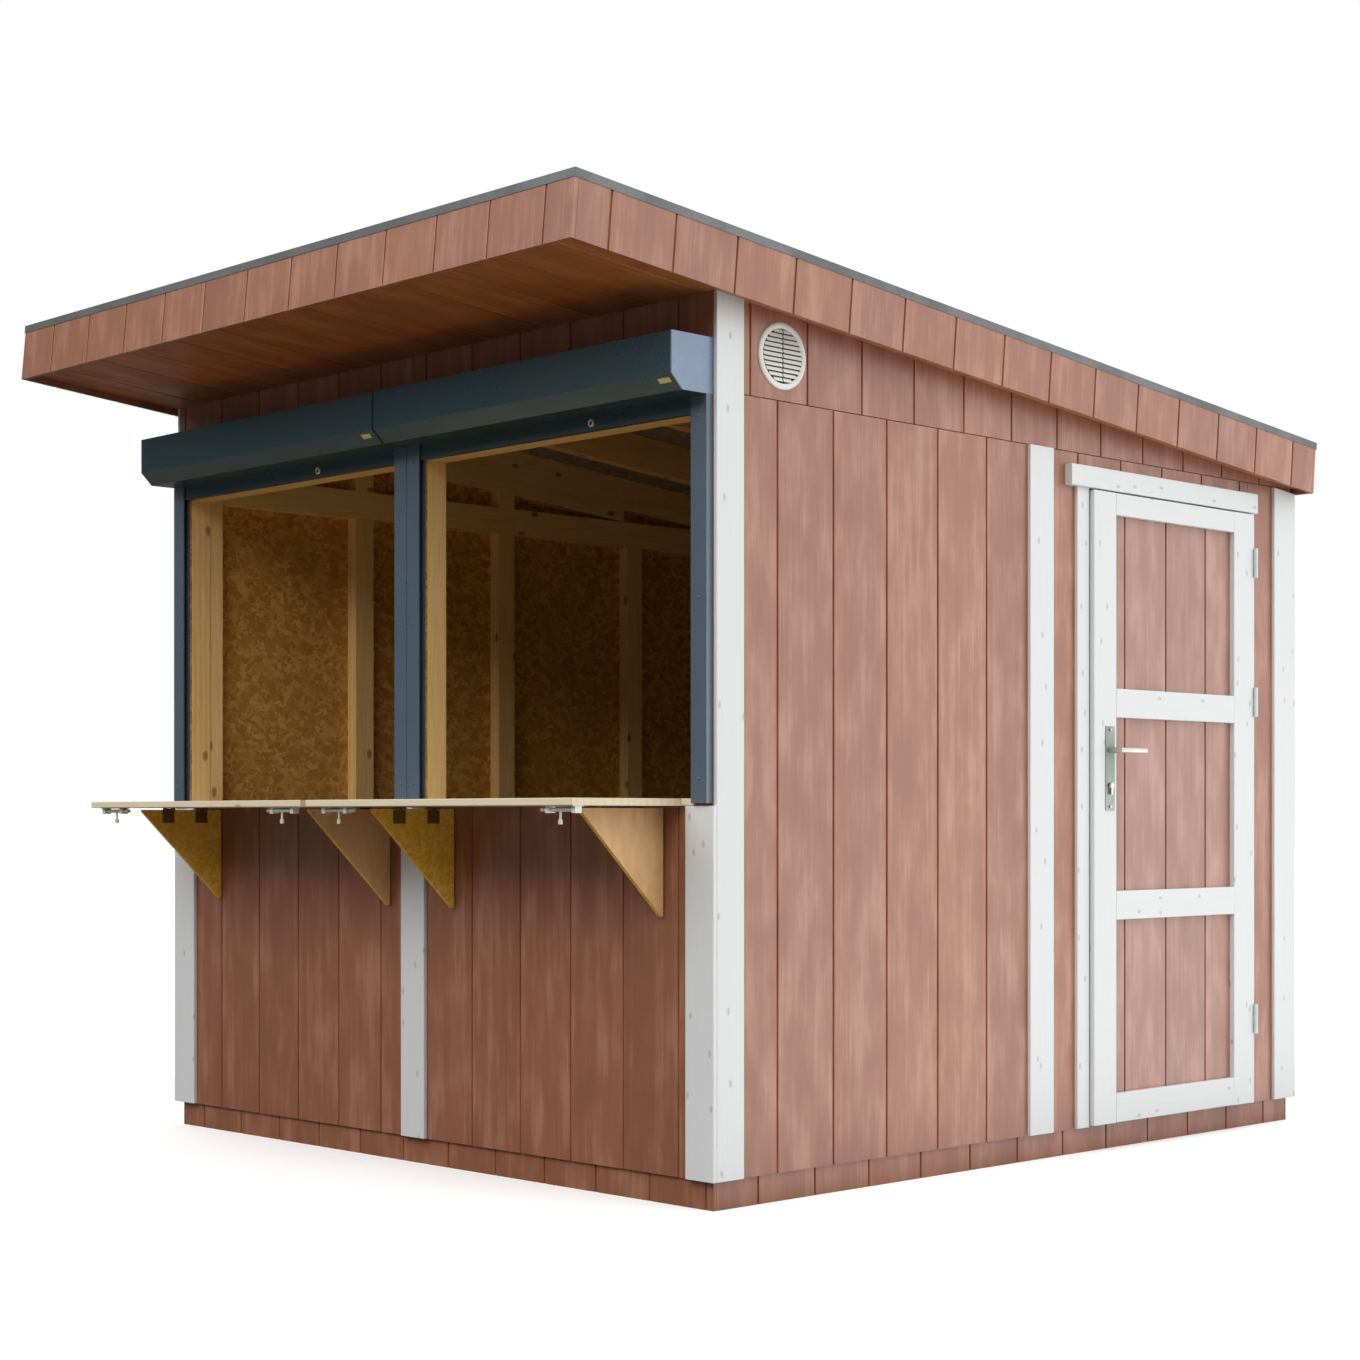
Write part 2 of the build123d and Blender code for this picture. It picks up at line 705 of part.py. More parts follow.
# Shelf brackets: triangular sheets that hang on two small hinges each and fold in under the shelf
bracket_axis_z = hatch_sill - bracket_axis_drop
bracket_top = bracket_axis_z - bracket_hinge_clearance
bracket_back = clad_front - bracket_wall_gap
bracket_tip = shelf_front + bracket_front_setback
bracket_reach = bracket_back - bracket_tip
axis_offset = bracket_thickness / 2 + bracket_hinge_radius + bracket_hinge_clearance
hinge_half = bracket_hinge_length / 2
tab_half = bracket_hinge_length / 6 - running_clearance / 2
hinge_middles = [bracket_back - reach for reach in bracket_hinge_reaches]
bracket_places = [
    (-shelf_far + left_shelf_bracket_insets[0], 1),
    (-shelf_near - left_shelf_bracket_insets[1], -1),
    (shelf_near + right_shelf_bracket_insets[0], 1),
    (shelf_far - right_shelf_bracket_insets[1], -1),
]

for number, (centre, inward) in enumerate(bracket_places, start=1):
    with BuildPart() as shelf_bracket:
        with BuildSketch(Plane.YZ.offset(centre - bracket_thickness / 2)):
            outline(
                (bracket_back, bracket_top),
                (bracket_tip, bracket_top),
                (bracket_tip, bracket_top - bracket_nose),
                (bracket_back - bracket_nose, bracket_top - bracket_reach),
                (bracket_back, bracket_top - bracket_reach),
            )
        extrude(amount=bracket_thickness)
    save(shelf_bracket, f"shelf_bracket_{number}")

# Bracket hinges, moving halves: a leaf on the bracket's inner face, turned over into the middle knuckle
leaf_top = bracket_axis_z - bracket_hinge_radius - bracket_hinge_clearance
half_metal = bracket_hinge_metal / 2
for number, (centre, inward) in enumerate(bracket_places, start=1):
    face_x = centre + inward * bracket_thickness / 2
    leaf_x = face_x + inward * bracket_hinge_metal
    axis_x = centre + inward * axis_offset
    with BuildPart() as bracket_hinge:
        for middle in hinge_middles:
            with BuildSketch(across(middle + hinge_half)):
                outline(
                    (face_x, leaf_top - bracket_hinge_leaf),
                    (leaf_x, leaf_top - bracket_hinge_leaf),
                    (leaf_x, leaf_top),
                    (face_x, leaf_top),
                )
            extrude(amount=bracket_hinge_length)
            with BuildSketch(across(middle + tab_half)):
                outline(
                    (face_x, leaf_top),
                    (leaf_x, leaf_top),
                    (leaf_x, bracket_axis_z - half_metal),
                    (axis_x, bracket_axis_z - half_metal),
                    (axis_x, bracket_axis_z + half_metal),
                    (face_x, bracket_axis_z + half_metal),
                )
                with Locations((axis_x, bracket_axis_z)):
                    RegularPolygon(bracket_hinge_radius, knuckle_sides)
                    Circle(bracket_pin_radius + hinge_pin_clearance, mode=Mode.SUBTRACT)
            extrude(amount=2 * tab_half)
    save(bracket_hinge, f"bracket_hinge_{number}")

# Bracket hinges, fixed halves: a plate under the shelf, the two outer knuckles and the pin
plate_under = hatch_sill - bracket_hinge_metal
knuckle_length = hinge_half - bracket_hinge_length / 6
with BuildPart() as shelf_hinge_plates:
    for centre, inward in bracket_places:
        axis_x = centre + inward * axis_offset
        low, high = sorted((axis_x - inward * half_metal, axis_x + inward * bracket_hinge_leaf))
        for middle in hinge_middles:
            with BuildSketch(across(middle + hinge_half)):
                rectangle(low, high, plate_under, hatch_sill)
            extrude(amount=bracket_hinge_length)
            for start in (middle + hinge_half, middle - hinge_half + knuckle_length):
                with BuildSketch(across(start)):
                    rectangle(axis_x - half_metal, axis_x + half_metal, bracket_axis_z, hatch_sill)
                    with Locations((axis_x, bracket_axis_z)):
                        RegularPolygon(bracket_hinge_radius, knuckle_sides)
                extrude(amount=knuckle_length)
            with BuildSketch(across(middle + hinge_half)):
                with Locations((axis_x, bracket_axis_z)):
                    Circle(bracket_pin_radius)
            extrude(amount=bracket_hinge_length)
save(shelf_hinge_plates, "shelf_hinge_plates")

# Bolt straps: under each shelf's front corners, a plate with two bored blocks for a slide bolt
bolt_y = shelf_front + bolt_front_inset
bolt_z = hatch_sill - bolt_axis_drop
strap_low = bolt_z - bolt_radius - bolt_strap_wall
strap_spacing = bolt_plate_length - bolt_strap_length
bolt_places = [
    (-shelf_far + left_shelf_bolt_insets[0], -1),
    (-shelf_near - left_shelf_bolt_insets[1], 1),
    (shelf_near + right_shelf_bolt_insets[0], -1),
    (shelf_far - right_shelf_bolt_insets[1], 1),
]
with BuildPart() as bolt_straps:
    with BuildSketch(Plane.XY.offset(hatch_sill - bolt_plate_thickness)):
        with Locations([(centre, bolt_y) for centre, outward in bolt_places]):
            Rectangle(bolt_plate_length, bolt_plate_width)
    extrude(amount=bolt_plate_thickness)
    for centre, outward in bolt_places:
        for start in (centre - bolt_plate_length / 2, centre - bolt_plate_length / 2 + strap_spacing):
            with BuildSketch(Plane.YZ.offset(start)):
                rectangle(bolt_y - bolt_strap_width / 2, bolt_y + bolt_strap_width / 2, strap_low, hatch_sill)
                with Locations((bolt_y, bolt_z)):
                    Circle(bolt_radius + running_clearance, mode=Mode.SUBTRACT)
            extrude(amount=bolt_strap_length)
save(bolt_straps, "bolt_straps")

# Slide bolts: a round bar through the straps, with a stem and a turned knob that hang down
bolt_length = bolt_plate_length + bolt_overhang
knob_top = bolt_z - bolt_stem_drop
for number, (centre, outward) in enumerate(bolt_places, start=1):
    outer_end = centre + outward * bolt_plate_length / 2
    with BuildPart() as slide_bolt:
        with BuildSketch(Plane.YZ.offset(outer_end)):
            with Locations((bolt_y, bolt_z)):
                Circle(bolt_radius)
        extrude(amount=-outward * bolt_length)
        stem = Location((centre - outward * bolt_stem_offset, bolt_y))
        with BuildSketch(Plane.XY.offset(knob_top)):
            with Locations(stem):
                Circle(bolt_stem_radius)
        extrude(amount=bolt_stem_drop)
        with BuildSketch(Plane.XY.offset(knob_top)):
            with Locations(stem):
                Circle(bolt_knob_radius)
        extrude(amount=-bolt_knob_height)
    save(slide_bolt, f"slide_bolt_{number}")

# Door jambs and stops: white boards on the sheet beside the doorway, stop strips inside it
leaf_outer = side_x + door_face_proud
panel_outer = leaf_outer - door_board
panel_inner = panel_outer - sheet_thickness
leaf_inner = panel_inner - door_board
jamb_top = doorway_head - butt_gap
stop_low = plinth_height + butt_gap
with BuildPart() as door_jambs:
    with BuildSketch(right_face.offset(sheet_thickness)):
        rectangle(doorway_front - front_jamb_width, doorway_front, board_low, jamb_top)
        rectangle(doorway_back, doorway_back + back_jamb_width, board_low, jamb_top)
    extrude(amount=trim_thickness)
    with BuildSketch(right_face.offset(leaf_inner - door_gap - side_x)):
        rectangle(doorway_front + butt_gap, doorway_front + door_stop_reach, stop_low, jamb_top)
        rectangle(doorway_back - door_stop_reach, doorway_back - butt_gap, stop_low, jamb_top)
        rectangle(
            doorway_front + door_stop_reach + butt_gap,
            doorway_back - door_stop_reach - butt_gap,
            doorway_head - door_stop_reach,
            jamb_top,
        )
    extrude(amount=-door_stop_reach)
save(door_jambs, "door_jambs")

# Door head board: the thicker board over the doorway
with BuildPart() as door_head_board:
    with BuildSketch(right_face.offset(sheet_thickness)):
        rectangle(
            doorway_front - front_jamb_width - head_board_overhang,
            doorway_back + back_jamb_width,
            doorway_head,
            doorway_head + head_board_height,
        )
    extrude(amount=head_board_thickness)
save(door_head_board, "door_head_board")

# Door panel: the grooved sheet in the middle of the leaf, bored for the spindle
door_low = plinth_height + door_gap
door_high = doorway_head - door_gap
door_front = doorway_front + door_gap
door_back = doorway_back - door_gap
handle_y = door_front + handle_setback
with BuildPart() as door_panel:
    with BuildSketch(Plane.YZ.offset(panel_inner)):
        rectangle(door_front, door_back, door_low, door_high)
        with Locations((handle_y, handle_height)):
            Circle(spindle_hole, mode=Mode.SUBTRACT)
    extrude(amount=sheet_thickness)
save(door_panel, "door_panel")

# Door boards: stiles and four rails on both faces of the leaf, the rails evenly spaced
rail_heights = (door_bottom_rail, door_middle_rail, door_middle_rail, door_top_rail)
panel_light = (door_high - door_low - sum(rail_heights)) / (len(rail_heights) - 1)
with BuildPart() as door_boards:
    for face_x in (panel_outer, leaf_inner):
        with BuildSketch(Plane.YZ.offset(face_x)):
            rectangle(door_front, door_front + door_stile, door_low, door_high)
            rectangle(door_back - door_stile, door_back, door_low, door_high)
            rail_foot = door_low
            for rail_height in rail_heights:
                rectangle(
                    door_front + door_stile + butt_gap,
                    door_back - door_stile - butt_gap,
                    rail_foot,
                    rail_foot + rail_height,
                )
                rail_foot += rail_height + panel_light
            with Locations((handle_y, handle_height)):
                Circle(spindle_hole, mode=Mode.SUBTRACT)
        extrude(amount=door_board)
save(door_boards, "door_boards")

# Door hinges, moving halves: a plate on the leaf's edge and the middle knuckle
door_axis_x = leaf_outer + hinge_axis_proud
door_axis_y = (door_back + doorway_back) / 2
plate_start = leaf_outer - hinge_plate_width
plate_end = door_axis_x - hinge_knuckle_radius - bracket_hinge_clearance
segment = hinge_length / 3
hinge_feet = [
    place - hinge_length / 2
    for place in (door_low + low_hinge_rise, door_high - middle_hinge_drop, door_high - top_hinge_drop)
]
with BuildPart() as door_leaf_hinges:
    for foot in hinge_feet:
        with BuildSketch(Plane.XY.offset(foot)):
            rectangle(plate_start, plate_end, door_back, door_back + hinge_plate_thickness)
        extrude(amount=hinge_length)
        with BuildSketch(Plane.XY.offset(foot + segment + hinge_knuckle_gap / 2)):
            rectangle(plate_start, door_axis_x, door_back, door_back + hinge_plate_thickness)
            with Locations((door_axis_x, door_axis_y)):
                RegularPolygon(hinge_knuckle_radius, knuckle_sides)
                Circle(hinge_pin_radius + hinge_pin_clearance, mode=Mode.SUBTRACT)
        extrude(amount=segment - hinge_knuckle_gap)
save(door_leaf_hinges, "door_leaf_hinges")

# Door hinges, fixed halves: a plate on the doorway's side, the outer knuckles and the pin
with BuildPart() as door_frame_hinges:
    for foot in hinge_feet:
        with BuildSketch(Plane.XY.offset(foot)):
            rectangle(plate_start, plate_end, doorway_back - hinge_plate_thickness, doorway_back)
            with Locations((door_axis_x, door_axis_y)):
                Circle(hinge_pin_radius)
        extrude(amount=hinge_length)
        for knuckle_foot in (foot, foot + 2 * segment + hinge_knuckle_gap / 2):
            with BuildSketch(Plane.XY.offset(knuckle_foot)):
                rectangle(plate_start, door_axis_x, doorway_back - hinge_plate_thickness, doorway_back)
                with Locations((door_axis_x, door_axis_y)):
                    RegularPolygon(hinge_knuckle_radius, knuckle_sides)
            extrude(amount=segment - hinge_knuckle_gap / 2)
save(door_frame_hinges, "door_frame_hinges")

# Door handle plates: a long plate on each face, bored for the spindle, with a key cylinder through both
plate_height_total = handle_plate_below + handle_plate_above
plate_middle = handle_height + (handle_plate_above - handle_plate_below) / 2
with BuildPart() as door_handle_plates:
    for start, outward in ((leaf_outer, 1), (leaf_inner, -1)):
        with BuildSketch(Plane.YZ.offset(start)):
            with Locations((handle_y, plate_middle)):
                Rectangle(handle_plate_width, plate_height_total)
            with Locations((handle_y, handle_height)):
                Circle(spindle_radius + spindle_clearance, mode=Mode.SUBTRACT)
        extrude(amount=outward * handle_plate_thickness)
        with BuildSketch(Plane.YZ.offset(start)):
            with Locations((handle_y, handle_height - keyhole_drop)):
                Circle(key_cylinder_radius)
        extrude(amount=outward * (handle_plate_thickness + key_cylinder_proud))
save(door_handle_plates, "door_handle_plates")

# Door lever: one spindle through the leaf, with a round arm on both ends that points to the hinges
lever_axis = Location((handle_y, handle_height))
with BuildPart() as door_lever:
    with BuildSketch(Plane.YZ.offset(leaf_inner - lever_reach)):
        with Locations(lever_axis):
            Circle(spindle_radius)
    extrude(amount=leaf_outer - leaf_inner + 2 * lever_reach)
    for face_x, outward in ((leaf_outer, 1), (leaf_inner, -1)):
        with BuildSketch(Plane.YZ.offset(face_x + outward * (handle_plate_thickness + lever_gap))):
            with Locations(lever_axis):
                Circle(lever_radius)
        extrude(amount=outward * (lever_reach - handle_plate_thickness - lever_gap))
        with BuildSketch(across(handle_y - lever_radius)):
            with Locations((face_x + outward * lever_reach, handle_height)):
                Circle(lever_radius)
        extrude(amount=-lever_radius - lever_length)
save(door_lever, "door_lever")

# Vent grille: slanted louvres cut round, in a rim with an upright centre rib
vent_y = front_y + vent_front_inset
vent_height = roof_z(vent_y, soffit_under) - vent_radius - vent_soffit_gap
vent_face = Plane(origin=(clad_x, vent_y, vent_height), x_dir=(0, 1, 0), z_dir=(1, 0, 0))
vent_section = Plane(origin=(clad_x, vent_y, vent_height), x_dir=(1, 0, 0), z_dir=(0, -1, 0))
vent_inner = vent_radius - vent_rim
louvre_pitch = 2 * vent_inner / vent_louvre_count
vent_louvre_width = louvre_pitch * vent_louvre_overlap
with BuildPart() as vent_grille:
    with BuildSketch(vent_section):
        with Locations((vent_depth / 2, 0)):
            with GridLocations(vent_depth, louvre_pitch, 1, vent_louvre_count):
                Rectangle(vent_louvre_width, vent_louvre_thickness, rotation=vent_louvre_tilt)
    extrude(amount=vent_inner + vent_seat, both=True)
    with BuildSketch(vent_face):
        Circle(vent_inner + vent_seat)
    extrude(amount=vent_depth, mode=Mode.INTERSECT)
    with BuildSketch(vent_face):
        Circle(vent_radius)
        Circle(vent_inner, mode=Mode.SUBTRACT)
        Rectangle(vent_rib_width, 2 * (vent_inner + vent_seat))
    extrude(amount=vent_depth)
save(vent_grille, "vent_grille")
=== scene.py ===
from math import cos, radians, sin

import bpy
import numpy as np
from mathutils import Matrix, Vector


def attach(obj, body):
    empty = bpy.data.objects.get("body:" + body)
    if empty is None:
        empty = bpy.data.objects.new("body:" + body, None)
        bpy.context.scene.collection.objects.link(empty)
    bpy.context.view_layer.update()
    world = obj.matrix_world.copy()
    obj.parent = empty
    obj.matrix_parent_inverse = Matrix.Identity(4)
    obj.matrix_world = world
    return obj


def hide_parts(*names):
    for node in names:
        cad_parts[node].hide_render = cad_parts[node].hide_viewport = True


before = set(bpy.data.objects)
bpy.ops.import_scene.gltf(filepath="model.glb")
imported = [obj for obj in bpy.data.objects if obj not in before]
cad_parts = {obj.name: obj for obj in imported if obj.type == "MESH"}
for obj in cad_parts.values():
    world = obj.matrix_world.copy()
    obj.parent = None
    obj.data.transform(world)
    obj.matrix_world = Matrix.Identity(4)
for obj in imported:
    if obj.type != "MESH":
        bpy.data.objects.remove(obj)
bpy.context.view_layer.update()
scene = bpy.context.scene

# Stage
# A hut in an open yard on a dull day: the sky is brightest behind its right side, dimmer in front of it.
# The floor is a pale sheet that keeps the shadow and turns plain white away from the hut. To bounced light it
# is dark in front and pale beside the right wall, where it also glows in reflections: painted shade, painted
# light and a painted reflection.


def srgb(red, green, blue):
    """A colour as seen on a screen, 0 to 255, as the linear colour that a shader takes."""
    seen = np.array([red, green, blue]) / 255
    linear = np.where(seen <= 0.04045, seen / 12.92, ((seen + 0.055) / 1.055) ** 2.4)
    return (*linear.tolist(), 1.0)


def joined(tree, new, inputs):
    """Sets a node's inputs: a node or a socket is linked in, anything else is the input's own value."""
    for key, value in inputs.items():
        if isinstance(value, bpy.types.Node):
            value = value.outputs[0]
        if isinstance(value, bpy.types.NodeSocket):
            tree.links.new(value, new.inputs[key])
        else:
            new.inputs[key].default_value = value
    return new


def adder(tree):
    """The call that adds a node to a tree: its kind, its inputs and its settings."""

    def node(kind, inputs=(), **settings):
        new = tree.nodes.new("ShaderNode" + kind)
        for key, value in settings.items():
            setattr(new, key, value)
        return joined(tree, new, dict(inputs))

    return node


def material(name, roughness, metallic=0.0):
    """A new material with its principled shader and the call that adds a node to it."""
    made = bpy.data.materials.new(name)
    made.use_nodes = True
    surface = made.node_tree.nodes["Principled BSDF"]
    surface.inputs["Roughness"].default_value = roughness
    surface.inputs["Metallic"].default_value = metallic
    return made, surface, adder(made.node_tree)


def product(node, first, second):
    """One value times another."""
    return node("Math", {0: first, 1: second}, operation="MULTIPLY")


def product_and_sum(node, first, second, third):
    """One value times another, plus a third."""
    return node("Math", {0: first, 1: second, 2: third}, operation="MULTIPLY_ADD")


def stepped(node, value, start, end, low=0.0, high=1.0):
    """A value that goes smoothly from low to high as another goes from start to end."""
    return node(
        "MapRange",
        {"Value": value, "From Min": start, "From Max": end, "To Min": low, "To Max": high},
        interpolation_type="SMOOTHSTEP",
    )


camera = bpy.data.objects.new("camera", bpy.data.cameras.new("camera"))
scene.collection.objects.link(camera)
scene.camera = camera
camera.location = (5.406, -5.328, 0.957)
camera.rotation_euler = (radians(90), 0, radians(44.775))
camera.data.lens = 63.9
camera.data.sensor_width = 36
camera.data.shift_x = -0.0632
camera.data.shift_y = 0.1009
scene.view_settings.view_transform = "Standard"

world = bpy.data.worlds.new("sky")
scene.world = world
world.use_nodes = True
node = adder(world.node_tree)
direction = node("TexCoord").outputs["Generated"]
overhead = stepped(node, node("SeparateXYZ", {0: direction}).outputs["Z"], 0.1, 0.7, 0.05, 1.3)
facing = node("VectorMath", {0: direction, 1: (0.69, 0.69, 0.2)}, operation="DOT_PRODUCT")
bright = stepped(node, facing.outputs["Value"], 0.4, 0.9, 0.0, 0.9)
daylight = node("Math", {0: overhead, 1: bright}, operation="ADD")
ray = node("LightPath").outputs
plain = node("Math", {0: ray["Is Camera Ray"], 1: ray["Is Transmission Ray"]}, operation="MAXIMUM")
strength = node("Mix", {0: plain, 2: daylight, 3: 1.0})
background = world.node_tree.nodes["Background"]
joined(world.node_tree, background, {"Color": (1, 1, 1, 1), "Strength": strength})


def lamp(name, place, aim, width, height, watts):
    """A soft rectangular lamp at a place, facing the point that it is aimed at."""
    made = bpy.data.objects.new(name, bpy.data.lights.new(name, "AREA"))
    scene.collection.objects.link(made)
    made.data.shape = "RECTANGLE"
    made.data.size, made.data.size_y = width, height
    made.data.energy = watts
    made.location = place
    made.rotation_euler = (Vector(place) - Vector(aim)).to_track_quat("Z", "Y").to_euler()
    made.visible_camera = False


lamp("key", (9.6, 8.6, 2.1), (1.2, 0.0, 1.0), 9.0, 4.0, 91)
lamp("side", (9.4, -1.9, 3.2), (1.2, -1.0, 1.0), 5.0, 4.0, 48)
lamp("fill", (0.7, -7.9, 5.9), (-0.6, -1.0, 1.0), 11.0, 4.0, 425)

floor_paint, surface, node = material("floor_paint", 0.9)
place = node("TexCoord").outputs["Object"]
reach = node("VectorMath", {0: place}, operation="LENGTH").outputs["Value"]
ray = node("LightPath").outputs
viewed = ray["Is Camera Ray"]
spot = node("SeparateXYZ", {0: place})
# Painted light: bounced light sees the floor dark in front of the hut, which paints shade under the roof and
# counter, and pale beside the right wall, which lights that wall's lower part.
beside = stepped(node, spot.outputs["X"], 1.1, 1.6)
right = product(node, beside, stepped(node, spot.outputs["Y"], -1.9, -1.0))
painted_bounce_colour = node("MixRGB", {"Fac": right, "Color1": (0.15, 0.13, 0.11, 1), "Color2": (0.8, 0.8, 0.78, 1)})
pale = node("MixRGB", {"Fac": viewed, "Color1": painted_bounce_colour, "Color2": (0.93, 0.93, 0.93, 1)})
far_glow = product(node, stepped(node, reach, 2.2, 4.2, 0.12, 1.0), viewed)
# Painted reflection: beside the right wall the floor glows for reflected rays only, a painted sheen on the
# lower right wall and plinth.
backdrop_glow_and_painted_reflection = product_and_sum(node, ray["Is Glossy Ray"], right, far_glow)
inputs = {"Base Color": pale, "Emission Color": (1, 1, 1, 1), "Emission Strength": backdrop_glow_and_painted_reflection}
joined(floor_paint.node_tree, surface, {**inputs, "Specular IOR Level": 0.1})
floor = bpy.data.objects.new("floor", bpy.data.meshes.new("floor"))
floor_half = 60
floor_corners = [(floor_half * x, floor_half * y, 0) for x, y in ((-1, -1), (1, -1), (1, 1), (-1, 1))]
floor.data.from_pydata(floor_corners, [], [(0, 1, 2, 3)])
floor.data.materials.append(floor_paint)
scene.collection.objects.link(floor)

# Grooved sheets
# Brown stained siding sheets of pressed wood flakes, their outer face moulded with cedar grain and a groove
# every eight inches, nailed to the studs. They make the plinth, walls, gables, fascia, soffit and door panel.

GROOVE_PITCH = 0.2032
EDGE_EASE = 0.0012
LEAST_EDGE_STRIP = 0.012
# A sheet thinner than 1/130 m has shallower grooves.
DEPTH_BY_THICKNESS = 130
ROOF_SLOPE = radians(5.273)
LEVEL = np.eye(3)
TILT_COS, TILT_SIN = cos(ROOF_SLOPE), sin(ROOF_SLOPE)
ROOF_AXES = np.array([[1, 0, 0], [0, TILT_COS, -TILT_SIN], [0, TILT_SIN, TILT_COS]])
GROOVE = np.array([[-4.2, 0], [-3.2, -0.9], [-2.8, -4.2], [2.8, -4.2], [3.2, -0.9], [4.2, 0]]) / 1000
ACROSS_ALONG_OUT = (0, 1, 2)
RIGHT_FACE, FRONT_FACE = 0, 1


def solids(node_name, axes=LEVEL):
    """The corner points of every separate solid of a CAD node, measured along the given axes: points at one
    place are one, and faces that share a whole edge belong together."""
    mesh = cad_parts[node_name].data
    points = np.empty(len(mesh.vertices) * 3)
    corners = np.empty(len(mesh.loops), dtype=np.int64)
    sides = np.empty(len(mesh.polygons), dtype=np.int64)
    mesh.vertices.foreach_get("co", points)
    mesh.loops.foreach_get("vertex_index", corners)
    mesh.polygons.foreach_get("loop_total", sides)
    places, place = np.unique(points.reshape(-1, 3).round(5), axis=0, return_inverse=True)
    here = place.ravel()[corners]
    after = np.roll(here, -1)
    last = np.cumsum(sides) - 1
    after[last] = here[last - sides + 1]
    pairs = np.sort(np.column_stack([here, after]))
    edge = np.unique(pairs, axis=0, return_inverse=True)[1].ravel()
    face = np.repeat(np.arange(len(sides)), sides)
    group = np.arange(len(sides))
    settled = False
    while not settled:
        lowest = np.full(edge.max() + 1, len(sides))
        np.minimum.at(lowest, edge, group[face])
        closer = group.copy()
        np.minimum.at(closer, face, lowest[edge])
        settled = (closer == group).all()
        group = closer
    return [places[np.unique(here[group[face] == k])] @ axes.T for k in np.unique(group)]


def carried(profile, low, high, order, axes, shift, stuff, caps=(0, 0)):
    """A closed profile carried straight along a piece, both ends closed by one face. A point is its across,
    along and out distances times the three axes. Its grain is the same three distances plus a shift."""
    count = len(profile)
    ring = np.arange(count)
    after = np.roll(ring, -1)
    across, out = profile.T
    here = np.concatenate([np.column_stack([across, end + 0 * across, out]) for end in (low, high)])
    places = np.empty_like(here)
    places[:, order] = here
    faces = np.column_stack([ring, after, after + count, ring + count]).tolist()
    faces += [ring[::-1].tolist(), (ring + count).tolist()]
    turning = np.sum(across * np.roll(out, -1) - np.roll(across, -1) * out)
    if np.linalg.det(LEVEL[list(order)]) * turning > 0:
        faces = [face[::-1] for face in faces]
    stuff = np.concatenate([np.broadcast_to(stuff, count), caps])
    return places @ axes, faces, here + shift, stuff


def piece(name, parts, materials, body, slot_name, *replaced):
    """One finished piece of several closed parts: their points, faces, grain and material numbers."""
    start, faces = 0, []
    for points, part_faces, _, _ in parts:
        faces += [[start + k for k in face] for face in part_faces]
        start += len(points)
    points, places, stuff = (np.concatenate([part[k] for part in parts]) for k in (0, 2, 3))
    made = bpy.data.objects.new(name, bpy.data.meshes.new(name))
    made.data.from_pydata(points.tolist(), [], faces)
    grain = made.data.attributes.new("grain", "FLOAT_VECTOR", "POINT")
    grain.data.foreach_set("vector", places.astype(np.float32).ravel())
    for each in materials:
        made.data.materials.append(each)
    made.data.polygons.foreach_set("material_index", stuff.astype(np.int32))
    made.data.update()
    scene.collection.objects.link(made)
    if replaced:
        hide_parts(*replaced)
    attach(made, body)


def sloped_ends(points, across, along, places):
    """Where a solid starts and ends along its length, at places across it: its ends may slope."""
    low, high = points[:, across].min(), points[:, across].max()
    near = points[np.abs(points[:, across] - low) < 1e-4, along]
    far = points[np.abs(points[:, across] - high) < 1e-4, along]
    ends = (near.min(), far.min()), (near.max(), far.max())
    return [np.interp(places, [low, high], end) for end in ends]


def grooved(node_name, phase, along=2, axes=LEVEL, thin=None, down=False, lift=0.0):
    """The grooved sheets of a CAD node: across each sheet runs a profile, flat but for a narrow groove at
    every phase + n pitches, its edges eased, and the sheet's plain back. The top may slope from one side to
    the other, and the lower end may be lifted a little."""
    made = []
    for number, points in enumerate(solids(node_name, axes)):
        low, high = points.min(0), points.max(0)
        others = [k for k in range(3) if k != along]
        out = thin if thin is not None else min(others, key=lambda k: high[k] - low[k])
        across = next(k for k in others if k != out)
        side = -1 if down or (thin is None and low[out] + high[out] < 0) else 1
        face, thick = (high[out] if side > 0 else low[out]), high[out] - low[out]
        left, right = low[across], high[across]
        start = phase(out, low) if callable(phase) else phase
        first = np.ceil((left + LEAST_EDGE_STRIP - start) / GROOVE_PITCH)
        steps = np.arange(first, (right - LEAST_EDGE_STRIP - start) / GROOVE_PITCH)
        middles = np.column_stack([start + GROOVE_PITCH * steps, 0 * steps])
        cuts = GROOVE * [1, min(1, DEPTH_BY_THICKNESS * thick)] + middles[:, None]
        first_edge = [left, -EDGE_EASE], [left + EDGE_EASE, 0]
        last_edge = [right - EDGE_EASE, 0], [right, -EDGE_EASE]
        back = [right, -thick], [left, -thick]
        profile = np.array([*first_edge, *cuts.reshape(-1, 2), *last_edge, *back])
        stuff = np.zeros(len(profile), dtype=int)
        stuff[-3:] = 1
        stuff[2:-4].reshape(-1, 6)[:, 1:4] = 2
        levels = sloped_ends(points, across, along, profile[:, 0])
        profile[:, 1] = face + side * profile[:, 1]
        levels[0] = levels[0] + lift
        shift = np.array([GROOVE_PITCH * 40 * number - start, 3.1 * number, 0])
        made.append(carried(profile, *levels, (across, along, out), axes, shift, stuff))
    return made


def where_grain(node, source):
    """Places in a piece with the grain along the second number: from its own grain, or from its object's
    frame with the grain along x, y or z."""
    if source == "grain":
        return node("Attribute", attribute_name="grain").outputs["Vector"]
    split = node("SeparateXYZ", {0: node("TexCoord").outputs["Object"]})
    order = {"x": "YXZ", "y": "XYZ", "z": "XZY"}[source]
    return node("CombineXYZ", {k: split.outputs[letter] for k, letter in enumerate(order)}).outputs[0]


def streaks(node, where, across, along, detail=4.0):
    """Noise squeezed across the grain and drawn out along it: a streak each 1/across metres wide."""
    placed = node("VectorMath", {0: where, 1: (across, along, across)}, operation="MULTIPLY")
    return node("TexNoise", {"Vector": placed, "Scale": 1.0, "Detail": detail, "Roughness": 0.6})


